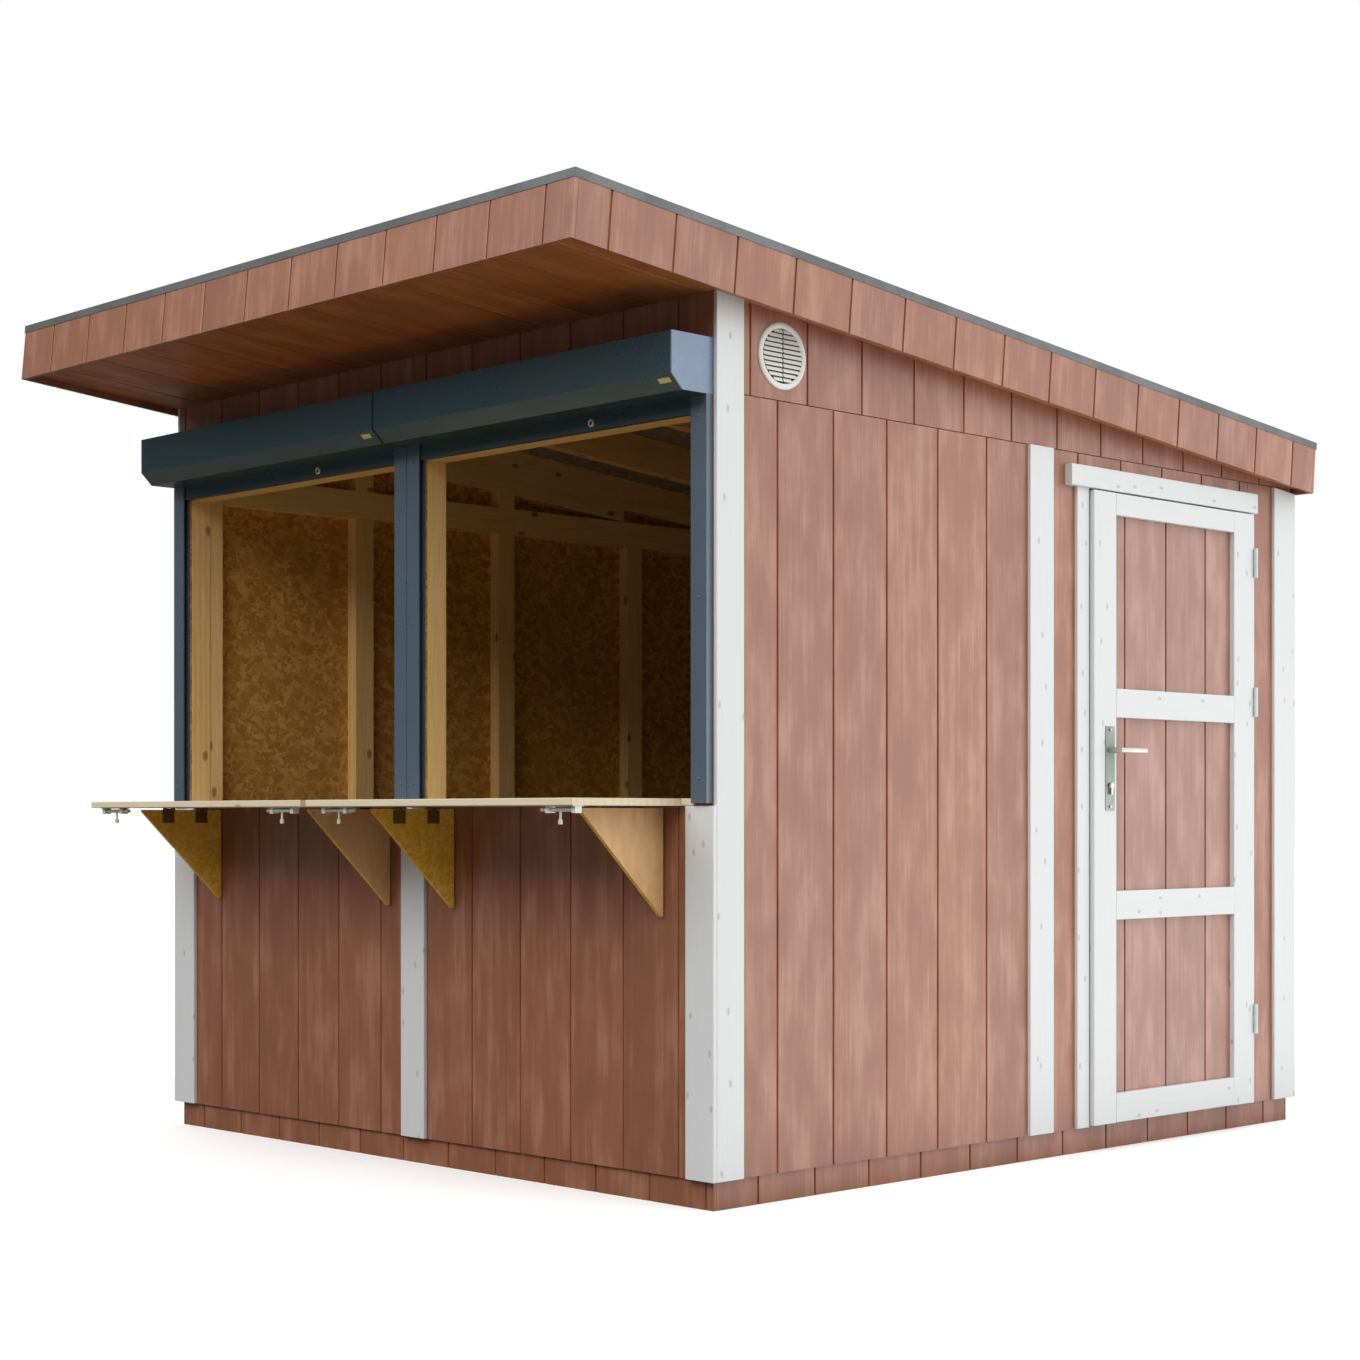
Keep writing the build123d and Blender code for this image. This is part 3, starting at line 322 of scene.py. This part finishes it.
def ramp(node, value, *stops):
    """A colour for each value between the given stops of value and colour."""
    made = node("ValToRGB", {"Fac": value})
    while len(made.color_ramp.elements) < len(stops):
        made.color_ramp.elements.new(0.5)
    for element, (place, colour) in zip(made.color_ramp.elements, stops):
        element.position, element.color = place, colour
    return made


def shaded(node, colour, shade):
    """A colour times a shade."""
    return node("MixRGB", {"Fac": 1.0, "Color1": colour, "Color2": shade}, blend_type="MULTIPLY")


def stain(name, dark, middle, light, gloss):
    """Semi-gloss stain over moulded cedar grain: slow clouds, long soft streaks and fine ones, and a few
    sharp light streaks. Each board between two grooves has its own shade."""
    made, surface, node = material(name, 0.42)
    grain = where_grain(node, "grain")
    width = node("SeparateXYZ", {0: grain}).outputs[0]
    board = node("Math", {0: width, 1: GROOVE_PITCH}, operation="DIVIDE")
    number = node("Math", {0: board}, operation="FLOOR")
    tint = node("TexWhiteNoise", {"W": number}, noise_dimensions="1D")
    moved = node("VectorMath", {0: tint.outputs["Color"], 1: (0.0, 7.0, 3.0)}, operation="MULTIPLY")
    grain = node("VectorMath", {0: grain, 1: moved}, operation="ADD")
    clouds = streaks(node, grain, 13, 4.5, 2.0)
    long = streaks(node, grain, 55, 1.3, 3.0)
    fine = streaks(node, grain, 230, 11, 1.0)
    sharp = stepped(node, streaks(node, grain, 130, 1.6, 2.0), 0.63, 0.7)
    value = product(node, clouds, 0.55)
    for layer, share in ((long, 0.3), (fine, 0.15), (sharp, 0.07)):
        value = product_and_sum(node, layer, share, value)
    colour = ramp(node, value, (0.4, dark), (0.5, middle), (0.62, light))
    shade = node("MapRange", {"Value": tint.outputs["Value"], "To Min": 0.93, "To Max": 1.06})
    height = node("Math", {0: product(node, fine, 0.5), 1: long}, operation="ADD")
    relief = node("Bump", {"Height": height, "Strength": 0.22, "Distance": 0.002})
    rough = stepped(node, clouds, 0.35, 0.65, 0.46, 0.39)
    inputs = {"Base Color": shaded(node, colour, shade), "Normal": relief, "Roughness": rough}
    joined(made.node_tree, surface, {**inputs, "Specular IOR Level": gloss})
    return made


stained = stain("stained_siding", srgb(136, 82, 55), srgb(145, 90, 62), srgb(163, 112, 88), 1.0)
# The door panel is the same siding, but its copy of the stain is lighter and greyer: a painted sheen.
panel_stain_painted_sheen = stain("panel_stain_painted_sheen", srgb(144, 100, 81), srgb(152, 108, 89), srgb(168, 125, 107), 1.0)
stained_groove = stain("stained_groove", srgb(142, 82, 58), srgb(156, 92, 66), srgb(168, 106, 80), 0.8)
# The soffit is the same siding, but its copy of the stain is brighter and more orange: painted light, the
# orange light bounced into the shade under the eaves.
soffit_stain_painted_bounce = stain("soffit_stain_painted_bounce", srgb(152, 90, 46), srgb(166, 100, 54), srgb(182, 114, 66), 0.25)


def flakes(name, source, dark, middle, light):
    """Pressed flakes: three layers of cells, each drawn out its own way, every flake with its own shade."""
    made, surface, node = material(name, 0.7)
    where = where_grain(node, source)
    layers = []
    for turn, stretch in ((0.45, (68, 27, 60)), (-1.0, (58, 30, 60)), (1.5, (74, 24, 60))):
        turned_place = node("VectorRotate", {"Vector": where, "Angle": turn}, rotation_type="Z_AXIS")
        placed = node("VectorMath", {0: turned_place, 1: stretch}, operation="MULTIPLY")
        layers.append(node("TexVoronoi", {"Vector": placed, "Scale": 1.0}).outputs["Color"])
    noise = node("TexNoise", {"Vector": where, "Scale": 40.0, "Detail": 1.0})
    over, top = stepped(node, noise, 0.42, 0.44), stepped(node, noise, 0.56, 0.58)
    first = node("MixRGB", {"Fac": over, "Color1": layers[0], "Color2": layers[1]})
    value = node("SeparateXYZ", {0: node("MixRGB", {"Fac": top, "Color1": first, "Color2": layers[2]})})
    colour = ramp(node, value, (0.0, dark), (0.45, middle), (1.0, light))
    relief = node("Bump", {"Height": value, "Strength": 0.3, "Distance": 0.0008})
    joined(made.node_tree, surface, {"Base Color": colour, "Normal": relief})
    return made


flake_back = flakes("flake_back", "grain", srgb(178, 124, 44), srgb(198, 144, 60), srgb(222, 174, 92))
# The back wall's inner face is a greyer, darker copy of the flake board: painted shade that offsets the
# orange light bounced inside the hut.
flake_shaded = flakes("flake_shaded", "grain", srgb(132, 114, 96), srgb(148, 130, 110), srgb(168, 150, 128))
both = [stained, stained, stained_groove]
lined = [stained, flake_back, stained_groove]
lined_darker = [stained, flake_shaded, stained_groove]
under = [soffit_stain_painted_bounce, soffit_stain_painted_bounce, stained_groove]
panel = [panel_stain_painted_sheen, panel_stain_painted_sheen, stained_groove]


def plinth_start(out, low):
    """Where a plinth board's grooves start: on the front and back, or on the sides."""
    return 1.163 if out == FRONT_FACE else -1.106


def front_start(out, low):
    """Where a front sheet's grooves start, on the right and on the left of the middle joint."""
    return 1.075 if low[0] > -0.001 else -0.962


roof_start = 1.172


def fascia_start(out, low):
    """Where a fascia's grooves start: from the right end in front, from the front end at the sides."""
    return roof_start if out == FRONT_FACE else low[1] + 0.100


side_start = -1.047
back_start = 0.0
gable_start = -0.9394
gable_gap = 0.0022
panel_start = 0.384
plinth = grooved("plinth_boards", plinth_start)
front = grooved("front_wall", front_start)
gables = grooved("gable_sheets", gable_start, lift=gable_gap)
fascia = grooved("fascia_boards", fascia_start, axes=ROOF_AXES)
soffit = grooved("soffit", roof_start, along=1, axes=ROOF_AXES, thin=2, down=True)
door_panel = grooved("door_panel", panel_start, thin=RIGHT_FACE)
piece("plinth_sheets", plinth, both, "hut", "grooved_sheet", "plinth_boards")
piece("front_sheets", front, lined, "hut", "grooved_sheet", "front_wall")
piece("right_sheets", grooved("right_wall", side_start), lined, "hut", "grooved_sheet", "right_wall")
piece("left_sheets", grooved("left_wall", side_start), lined, "hut", "grooved_sheet", "left_wall")
piece("back_sheets", grooved("back_wall", back_start), lined_darker, "hut", "grooved_sheet", "back_wall")
piece("gable_sheets_grooved", gables, lined, "hut", "grooved_sheet", "gable_sheets")
piece("fascia_sheets", fascia, both, "hut", "fascia_sheet", "fascia_boards")
piece("soffit_sheets", soffit, under, "hut", "fascia_sheet", "soffit")
piece("door_panel_sheet", door_panel, panel, "door", "grooved_sheet", "door_panel")

# White boards
# Knotty spruce boards painted white, planed with eased edges and screwed over the sheets' joints: at the
# corners, over each wall's middle joint, round the doorway, and as stiles and rails on the door.

ROUNDED_CORNER = np.array([[0, 1], [0.29, 0.29], [1, 0]])


def eased(width, thick, ease):
    """A board's section: a rectangle with its four edges rounded, three points to an edge."""
    half = np.array([width, thick]) / 2
    corner = ease * ROUNDED_CORNER
    signs = [(-1, -1), (1, -1), (1, 1), (-1, 1)]
    return np.concatenate([(half - corner[:: 1 if x * y > 0 else -1]) * [x, y] for x, y in signs])


def planks(boards, ease, along=None):
    """Boards, each given by the corner points of its CAD solid: an eased section carried along its longest
    side or the side given. Its ends may slope. Its grain starts at its own place, so no two look the same."""
    made = []
    for number, points in enumerate(boards):
        low, high = points.min(0), points.max(0)
        size, middle = high - low, (low + high) / 2
        by_size = np.argsort(size)
        length = by_size[2] if along is None else along
        out, across = [k for k in by_size if k != length]
        section = eased(size[across], size[out], ease) + [middle[across], middle[out]]
        levels = sloped_ends(points, across, length, section[:, 0])
        shift = np.array([1.7, 3.1, 0.9]) * (number + 1 + 5 * low.sum())
        made.append(carried(section, *levels, (across, length, out), LEVEL, shift, 0))
    return made


def knots(node, where, spacing, size, share):
    """Round knots, a little drawn out and bent by noise: one in a share of the cells of a grid with that many
    cells a metre, on broad and narrow faces alike. Gives 1 in a knot, 0 outside."""
    bend = node("TexNoise", {"Vector": where, "Scale": 70.0, "Detail": 1.0}).outputs["Color"]
    bent = node("VectorMath", {0: bend, 1: (0.004, 0.006, 0.0), 2: where}, operation="MULTIPLY_ADD")
    split = node("SeparateXYZ", {0: bent})
    width = node("Math", {0: split.outputs["X"], 1: split.outputs["Z"]}, operation="ADD")
    flat = node("CombineXYZ", {0: width, 1: split.outputs["Y"]})
    placed = node("VectorMath", {0: flat, 1: (spacing, spacing * 0.55, 0.0)}, operation="MULTIPLY")
    cell = node("TexVoronoi", {"Vector": placed, "Scale": 1.0}, voronoi_dimensions="2D")
    chance = node("SeparateXYZ", {0: cell.outputs["Color"]})
    chosen = node("Math", {0: chance, 1: share}, operation="LESS_THAN")
    spot = stepped(node, cell.outputs["Distance"], size * spacing * 0.4, size * spacing, 1.0, 0.0)
    return product(node, spot, chosen)


white_paint, surface, node = material("white_paint", 0.45)
grain = where_grain(node, "grain")
fine = streaks(node, grain, 160, 6)
knot = knots(node, grain, spacing=12.0, size=0.007, share=0.6)
paint = ramp(node, fine, (0.3, srgb(212, 214, 215)), (0.6, srgb(215, 217, 219)))
shown = product(node, knot, 0.55)
spotted = node("MixRGB", {"Fac": shown, "Color1": paint, "Color2": srgb(158, 160, 158)})
height = node("Math", {0: fine, 1: knot}, operation="ADD")
relief = node("Bump", {"Height": height, "Strength": 0.08, "Distance": 0.0015})
joined(white_paint.node_tree, surface, {"Base Color": spotted, "Normal": relief})

# A front corner's solid is an L of a side board over a front board that ends under the counter.
side_board_x = 1.1985
front_board_y = -1.268
front_board_top = 0.99
corners = []
for points in solids("corner_boards"):
    across, along, height = points.T
    if along.min() < front_board_y:
        on_side = (np.abs(across) > side_board_x) & (along > front_board_y - 0.0005)
        in_front = (along < front_board_y + 0.0005) & (height < front_board_top)
        corners += [points[on_side], points[in_front]]
    else:
        corners.append(points)
battens = planks(solids("joint_battens"), 0.002, 2)
jambs = planks(solids("door_jambs"), 0.002)
head = planks(solids("door_head_board"), 0.003)
door_boards = planks(solids("door_boards"), 0.002)
piece("corner_planks", planks(corners, 0.002, 2), [white_paint], "hut", "white_board", "corner_boards")
piece("batten_planks", battens, [white_paint], "hut", "white_board", "joint_battens")
piece("jamb_planks", jambs, [white_paint], "hut", "white_board", "door_jambs")
piece("head_plank", head, [white_paint], "hut", "white_board", "door_head_board")
piece("door_planks", door_boards, [white_paint], "door", "white_board", "door_boards")

# Timber
# Planed spruce studs, plates and rafters with knots and growth rings, nailed together, and the posts and head
# beam that frame the two hatches. The counter and its shelves are paler glued boards.


def timber(name, source, early, late, knot_colour, upper=None, limit=0.0):
    """Planed softwood: bands of late wood bent by noise, fine streaks, round knots. Above a height the grain
    may run another way, as plates lie on studs."""
    made, surface, node = material(name, 0.55)
    where = where_grain(node, source)
    if upper:
        height = node("SeparateXYZ", {0: node("TexCoord").outputs["Object"]}).outputs["Z"]
        above = node("Math", {0: height, 1: limit}, operation="GREATER_THAN")
        ways = {0: above, 4: where, 5: where_grain(node, upper)}
        where = node("Mix", ways, data_type="VECTOR").outputs[1]
    knot = knots(node, where, spacing=8.0, size=0.012, share=0.45)
    bent = node("VectorMath", {0: where, 1: (1.0, 0.05, 1.0)}, operation="MULTIPLY")
    bends = {"Distortion": 6.0, "Detail": 2.0, "Detail Scale": 0.6}
    rings = node("TexWave", {"Vector": bent, "Scale": 14.0, **bends})
    fine = streaks(node, where, 260, 7)
    mixed = node("Math", {0: product(node, rings, 0.22), 1: fine}, operation="ADD")
    wood = ramp(node, mixed, (0.35, early), (0.85, late))
    shown = product(node, knot, 0.75)
    spotted = node("MixRGB", {"Fac": shown, "Color1": wood, "Color2": knot_colour})
    relief = node("Bump", {"Height": mixed, "Strength": 0.15, "Distance": 0.001})
    joined(made.node_tree, surface, {"Base Color": spotted, "Normal": relief})
    return made


def dress(stuff, *names):
    """Gives CAD nodes a material in place of their own."""
    for name in names:
        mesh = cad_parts[name].data
        mesh.materials.clear()
        mesh.materials.append(stuff)


plate_underside = 1.945
spruce = (srgb(250, 216, 150), srgb(236, 186, 110), srgb(140, 88, 42))
glued_spruce = (srgb(224, 213, 186), srgb(212, 197, 165), srgb(172, 140, 100))
frame_timber = timber("frame_timber", "grain", *spruce)
side_timber = timber("side_timber", "z", *spruce, upper="y", limit=plate_underside)
back_timber = timber("back_timber", "z", *spruce, upper="x", limit=plate_underside)
rafter_timber = timber("rafter_timber", "y", *spruce)
joist_timber = timber("joist_timber", "y", *spruce)
counter_timber = timber("counter_timber", "grain", *glued_spruce)
# The decks' flake board is a greyer, darker copy of the sheets' flakes: painted shade that also cools the
# light bounced inside the hut.
deck_flakes_painted_shade = flakes("deck_flakes_painted_shade", "y", srgb(132, 116, 96), srgb(150, 133, 111), srgb(172, 155, 132))

posts = planks(solids("front_wall_frame"), 0.0025)
sills = planks(solids("hatch_sills"), 0.002, 0)
piece("front_frame_timbers", posts, [frame_timber], "hut", "framing_timber", "front_wall_frame")
piece("sill_planks", sills, [counter_timber], "hut", "shelf_timber", "hatch_sills")
for side in ("left", "right"):
    shelf = planks(solids(f"counter_shelf_{side}"), 0.002, 0)
    piece(f"shelf_{side}_plank", shelf, [counter_timber], "hut", "shelf_timber", f"counter_shelf_{side}")
dress(side_timber, "left_wall_frame", "right_wall_frame")
dress(back_timber, "back_wall_frame")
dress(rafter_timber, "rafters")
dress(joist_timber, "floor_joists")
dress(deck_flakes_painted_shade, "floor_deck", "roof_deck")

# Shelf brackets
# Each is a triangle cut from the siding sheet: flakes on the face with the hinges, the moulded brown face
# primed pale on the other. It hangs on two small steel hinges under the shelf and folds in flat.

# The brackets' flake faces are a lighter, yellower copy of the sheets' flakes: painted light on faces that
# stand in shadow.
flake_face_painted_light = flakes("flake_face_painted_light", "z", srgb(232, 178, 46), srgb(242, 194, 62), srgb(250, 212, 98))
smooth_face, surface, node = material("smooth_face", 0.6)
soft = streaks(node, where_grain(node, "z"), 40, 12)
primer = ramp(node, soft, (0.3, srgb(216, 172, 118)), (0.7, srgb(230, 190, 136)))
joined(smooth_face.node_tree, surface, {"Base Color": primer})


def upright_plate(points, stuff=0, caps=(0, 0)):
    """A flat plate that stands across the hut, from its CAD solid's corner points: its outline, in the order
    of the angle about its middle, carried through its thickness."""
    low, high = points.min(0), points.max(0)
    outline = np.unique(points[:, 1:].round(5), axis=0)
    turn = np.argsort(np.arctan2(*(outline - outline.mean(0)).T))
    return carried(outline[turn], low[0], high[0], (1, 0, 2), LEVEL, np.zeros(3), stuff, caps)


for number in range(1, 5):
    name = f"shelf_bracket_{number}"
    (points,) = solids(name)
    part = upright_plate(points, caps=(1, 0) if number % 2 else (0, 1))
    faces = [flake_face_painted_light, smooth_face]
    piece(f"bracket_{number}_sheet", [part], faces, f"bracket_{number}", "flake_board", name)


def metal(name, roughness, metallic, colour, patchy, grime=0.12, gloss=0.5):
    """Sheet metal or its paint: a colour with slow patches and fine grime that also dulls it a little."""
    made, surface, node = material(name, roughness, metallic)
    where = node("TexCoord").outputs["Object"]
    slow = node("TexNoise", {"Vector": where, "Scale": 6.0, "Detail": 3.0})
    fine = node("TexNoise", {"Vector": where, "Scale": 240.0, "Detail": 2.0})
    patches = node("MixRGB", {"Fac": stepped(node, slow, 0.35, 0.65), "Color1": colour, "Color2": patchy})
    specks = stepped(node, fine, 0.3, 0.7, 1.0 - grime, 1.0 + grime / 2)
    rough = stepped(node, slow, 0.3, 0.7, roughness * 0.9, roughness * 1.15)
    inputs = {"Base Color": shaded(node, patches, specks), "Roughness": rough, "Specular IOR Level": gloss}
    joined(made.node_tree, surface, inputs)
    return made


dark_steel = metal("dark_steel", 0.45, 0.2, srgb(124, 98, 54), srgb(106, 82, 46))
zinc = metal("zinc", 0.35, 0.15, srgb(226, 230, 214), srgb(206, 212, 194))
hinge_paint = metal("hinge_paint", 0.45, 0.1, srgb(214, 220, 216), srgb(202, 210, 206), 0.06)
bronze = metal("bronze", 0.45, 0.3, srgb(150, 124, 80), srgb(136, 112, 72))
dress(dark_steel, *[f"bracket_hinge_{n}" for n in range(1, 5)])
dress(bronze, "shelf_hinge_plates")
dress(zinc, "bolt_straps", *[f"slide_bolt_{n}" for n in range(1, 5)])
dress(hinge_paint, "door_frame_hinges", "door_leaf_hinges")

# Roof
# Sheets of bitumen with fine slate grit, a metre wide and lapped, run down the flake deck. Folded grey metal
# holds their edges all round.

LAP_SHIFT = 0.31
membrane, surface, node = material("membrane", 0.88)
where = node("TexCoord").outputs["Object"]
grit = node("TexNoise", {"Vector": where, "Scale": 420.0, "Detail": 1.0})
faded = node("TexNoise", {"Vector": where, "Scale": 1.6, "Detail": 2.0})
grey = ramp(node, grit, (0.35, srgb(58, 60, 62)), (0.65, srgb(86, 88, 90)))
aged = shaded(node, grey, stepped(node, faded, 0.3, 0.7, 0.9, 1.08))
across = node("Math", {0: node("SeparateXYZ", {0: where}), 1: LAP_SHIFT}, operation="ADD")
from_lap = node("Math", {0: across, 1: 0.5}, operation="PINGPONG")
seam = stepped(node, from_lap, 0.004, 0.012)
lapped = node("MixRGB", {"Fac": seam, "Color1": srgb(40, 41, 43), "Color2": aged})
relief = node("Bump", {"Height": grit, "Strength": 0.25, "Distance": 0.001})
joined(membrane.node_tree, surface, {"Base Color": lapped, "Normal": relief})
edge_grey = metal("edge_grey", 0.5, 0.5, srgb(112, 116, 116), srgb(98, 102, 100))
dress(membrane, "roofing")
dress(edge_grey, "roof_edge_metal")

# Shutters
# Folded and painted aluminium: a bevelled box over each hatch that holds the rolled curtain, its end plates,
# the screwed-on guide rails, and the curtain's end slat with a cylinder lock. A brass clip sits near each
# box's end.

shutter_paint = metal("shutter_paint", 0.3, 0.0, srgb(24, 58, 68), srgb(21, 53, 60), 0.06, 1.0)
rail_paint = metal("rail_paint", 0.3, 0.0, srgb(78, 95, 112), srgb(72, 89, 104), 0.06, 1.0)
# The outer end plates carry the boxes' dark paint, colored pale blue-grey here: a painted sheen from the
# bright sky on their faces.
plate_paint_painted_sheen = metal("plate_paint_painted_sheen", 0.3, 0.0, srgb(110, 136, 164), srgb(104, 128, 154), 0.06, 1.0)
# The inner end plates, in the narrow gap between the boxes, are darker and duller than the boxes' paint:
# painted shade.
inner_paint_painted_shade = metal("inner_paint_painted_shade", 0.5, 0.0, srgb(20, 44, 52), srgb(18, 40, 46), 0.06, 0.3)
lock_metal = metal("lock_metal", 0.3, 0.15, srgb(236, 228, 208), srgb(220, 210, 186))
lock_core = metal("lock_core", 0.4, 0.2, srgb(120, 84, 52), srgb(96, 64, 38))
brass = metal("brass", 0.35, 0.3, srgb(214, 206, 150), srgb(196, 186, 126))
dress(shutter_paint, "shutter_boxes", "shutter_end_slats")
dress(rail_paint, "shutter_rails")
ends = []
for points in solids("shutter_end_plates"):
    inner = int(abs(points[:, 0].min()) < 0.1)
    ends.append(upright_plate(points, inner, (inner, inner)))
piece("box_end_plates", ends, [plate_paint_painted_sheen, inner_paint_painted_shade], "hut", "end_plate_metal", "shutter_end_plates")


def turned(profile, place, order, axes=LEVEL, count=24, stuff=0, caps=(0, 0)):
    """A profile of radius and out distances turned about the axis out through a place, a face at each end."""
    angle = np.linspace(0, 2 * np.pi, count, endpoint=False)
    radius, out = np.array(profile).T[:, :, None]
    here = np.stack([radius * np.cos(angle), radius * np.sin(angle), out + 0 * angle], axis=-1)
    here = here.reshape(-1, 3)
    places = np.empty_like(here)
    places[:, order] = here
    step = np.arange(count)
    after = np.roll(step, -1)
    rows = count * np.arange(len(profile) - 1)[:, None]
    quads = np.stack([rows + step, rows + after, rows + count + after, rows + count + step], axis=-1)
    faces = quads.reshape(-1, 4).tolist()
    faces += [step[::-1].tolist(), (step + count * (len(profile) - 1)).tolist()]
    if np.linalg.det(LEVEL[list(order)]) * (profile[-1][1] - profile[0][1]) < 0:
        faces = [face[::-1] for face in faces]
    stuff = np.concatenate([np.repeat(np.broadcast_to(stuff, len(profile) - 1), count), caps])
    return (places + place) @ axes, faces, here, stuff


FORWARD = (2, 0, 1)
ring = np.array([[10.5, 0], [10.5, -2.5], [9.5, -4.5], [7.2, -5.0], [6.0, -4.0], [5.2, -2.2]]) / 1000
locks = []
for points in solids("shutter_locks"):
    low, high = points.min(0), points.max(0)
    x, _, z = (low + high) / 2
    locks.append(turned(ring, (x, high[1], z), FORWARD, caps=(0, 1)))
piece("lock_cylinders", locks, [lock_metal, lock_core], "hut", "lock_metal", "shutter_locks")

rail_face = -1.290
screw_columns = (-1.169, -0.030, 0.028, 1.170)
screw_heights = (1.050, 1.491, 1.932)
pan = np.array([[4.2, 0], [4.2, -0.8], [3.0, -2.0], [1.0, -2.4]]) / 1000
places = [(x, rail_face, z) for x in screw_columns for z in screw_heights]
heads = [turned(pan, place, FORWARD, count=12) for place in places]
piece("rail_screws", heads, [rail_paint], "hut", "rail_metal")

# The clips lie on the boxes' bevel, in axes of which the third stands square to it.
slant = 0.5**0.5
BEVEL_AXES = np.array([[1, 0, 0], [0, -slant, slant], [0, -slant, -slant]])
clip_length, clip_width, clip_sheet = 0.040, 0.014, 0.0014
clip_insets = (0.040, 0.034)
clip_back, clip_rise = 0.013, 0.023
rivet = np.array([[2.8, 0], [2.6, 1.2], [1.0, 1.8]]) / 1000
clips = []
for points, inset in zip(solids("shutter_boxes"), clip_insets):
    low, high = points.min(0), points.max(0)
    middle = BEVEL_AXES @ (high[0] - inset, low[1] + clip_back, low[2] + clip_rise)
    section = eased(clip_length, clip_sheet, 0.0006) + [middle[0], middle[2] + 0.0008]
    ends = middle[1] - clip_width / 2, middle[1] + clip_width / 2
    clips.append(carried(section, *ends, ACROSS_ALONG_OUT, BEVEL_AXES, np.zeros(3), 0))
    for reach in (-0.013, 0.013):
        clips.append(turned(rivet, middle + (reach, 0, clip_sheet), ACROSS_ALONG_OUT, BEVEL_AXES, 12))
piece("box_clips", clips, [brass], "hut", "lock_metal")

# Door furniture
# A long steel plate with a slim lever on each face of the door. A screw with a rounded head holds each end of
# the plate, and the lock's cylinder stands out of it under the lever.

plate_metal = metal("plate_metal", 0.4, 0.8, srgb(138, 150, 138), srgb(126, 138, 126))
lever_metal = metal("lever_metal", 0.3, 0.8, srgb(205, 200, 196), srgb(186, 182, 178))
dress(plate_metal, "door_handle_plates")
dress(lever_metal, "door_lever")
SIDEWAYS = (1, 2, 0)
door_screw_inset = 0.010
key_rise = 0.071
tail_width, tail_low, tail_high = 0.0095, 0.045, 0.067
furniture = []
plates = sorted(solids("door_handle_plates"), key=lambda points: -points[:, 0].max())
for side, points in zip((1, -1), plates):
    low, high = points.min(0), points.max(0)
    face = high[0] if side > 0 else low[0]
    y = (low[1] + high[1]) / 2
    cap = [(0.0045, 0), (0.0042, 0.0008 * side), (0.003, 0.0018 * side), (0.001, 0.0022 * side)]
    barrel = [(0.0088, 0), (0.0088, 0.0045 * side), (0.0078, 0.0055 * side), (0.003, 0.0055 * side)]
    for z in (low[2] + door_screw_inset, high[2] - door_screw_inset):
        furniture.append(turned(cap, (face, y, z), SIDEWAYS, count=16))
    furniture.append(turned(barrel, (face, y, low[2] + key_rise), SIDEWAYS))
    tail = eased(tail_width, 0.0045, 0.001) + [y, face + side * 0.00225]
    levels = low[2] + tail_low, low[2] + tail_high
    furniture.append(carried(tail, *levels, SIDEWAYS, LEVEL, np.zeros(3), 0))
piece("lock_barrels", furniture, [lever_metal], "door", "handle_metal")

# Vent
# A round moulded plastic grille pressed on to the gable sheet: a low domed rim, and in it two columns of
# sloping louvres, with the dark of the fly mesh between them.

vent_plastic = metal("vent_plastic", 0.45, 0.0, srgb(224, 223, 219), srgb(216, 215, 210), 0.05)
vent_mesh = metal("vent_mesh", 0.8, 0.0, srgb(60, 58, 54), srgb(48, 46, 44), 0.3)
radius = 0.084
centre = np.array([1.199, -1.032, 2.1052])
inset = np.array([0, 0, 2, 6, 11, 15, 16]) / 1000
rise = np.array([0, 2.0, 4.2, 5.2, 4.8, 3.4, 1.2]) / 1000
dish = np.column_stack([radius - inset, rise])
grille = [turned(dish, centre, SIDEWAYS, count=64, caps=(0, 1))]
blade = np.array([[5.4, 0.6], [5.4, 2.0], [-2.6, 6.0], [-3.9, 6.4], [-4.1, 5.4], [2.0, 0.8]]) / 1000
blade_pitch = 0.012
blade_circle = 0.0675
half_rib = 0.0022
for height in blade_pitch * np.arange(-5, 6):
    reach = (blade_circle**2 - height**2) ** 0.5
    section = blade + [centre[2] + height, centre[0]]
    for near, far in ((-reach, -half_rib), (half_rib, reach)):
        ends = centre[1] + near, centre[1] + far
        grille.append(carried(section, *ends, (2, 1, 0), LEVEL, np.zeros(3), 0))
piece("vent_louvres", grille, [vent_plastic, vent_mesh], "hut", "vent_plastic", "vent_grille")
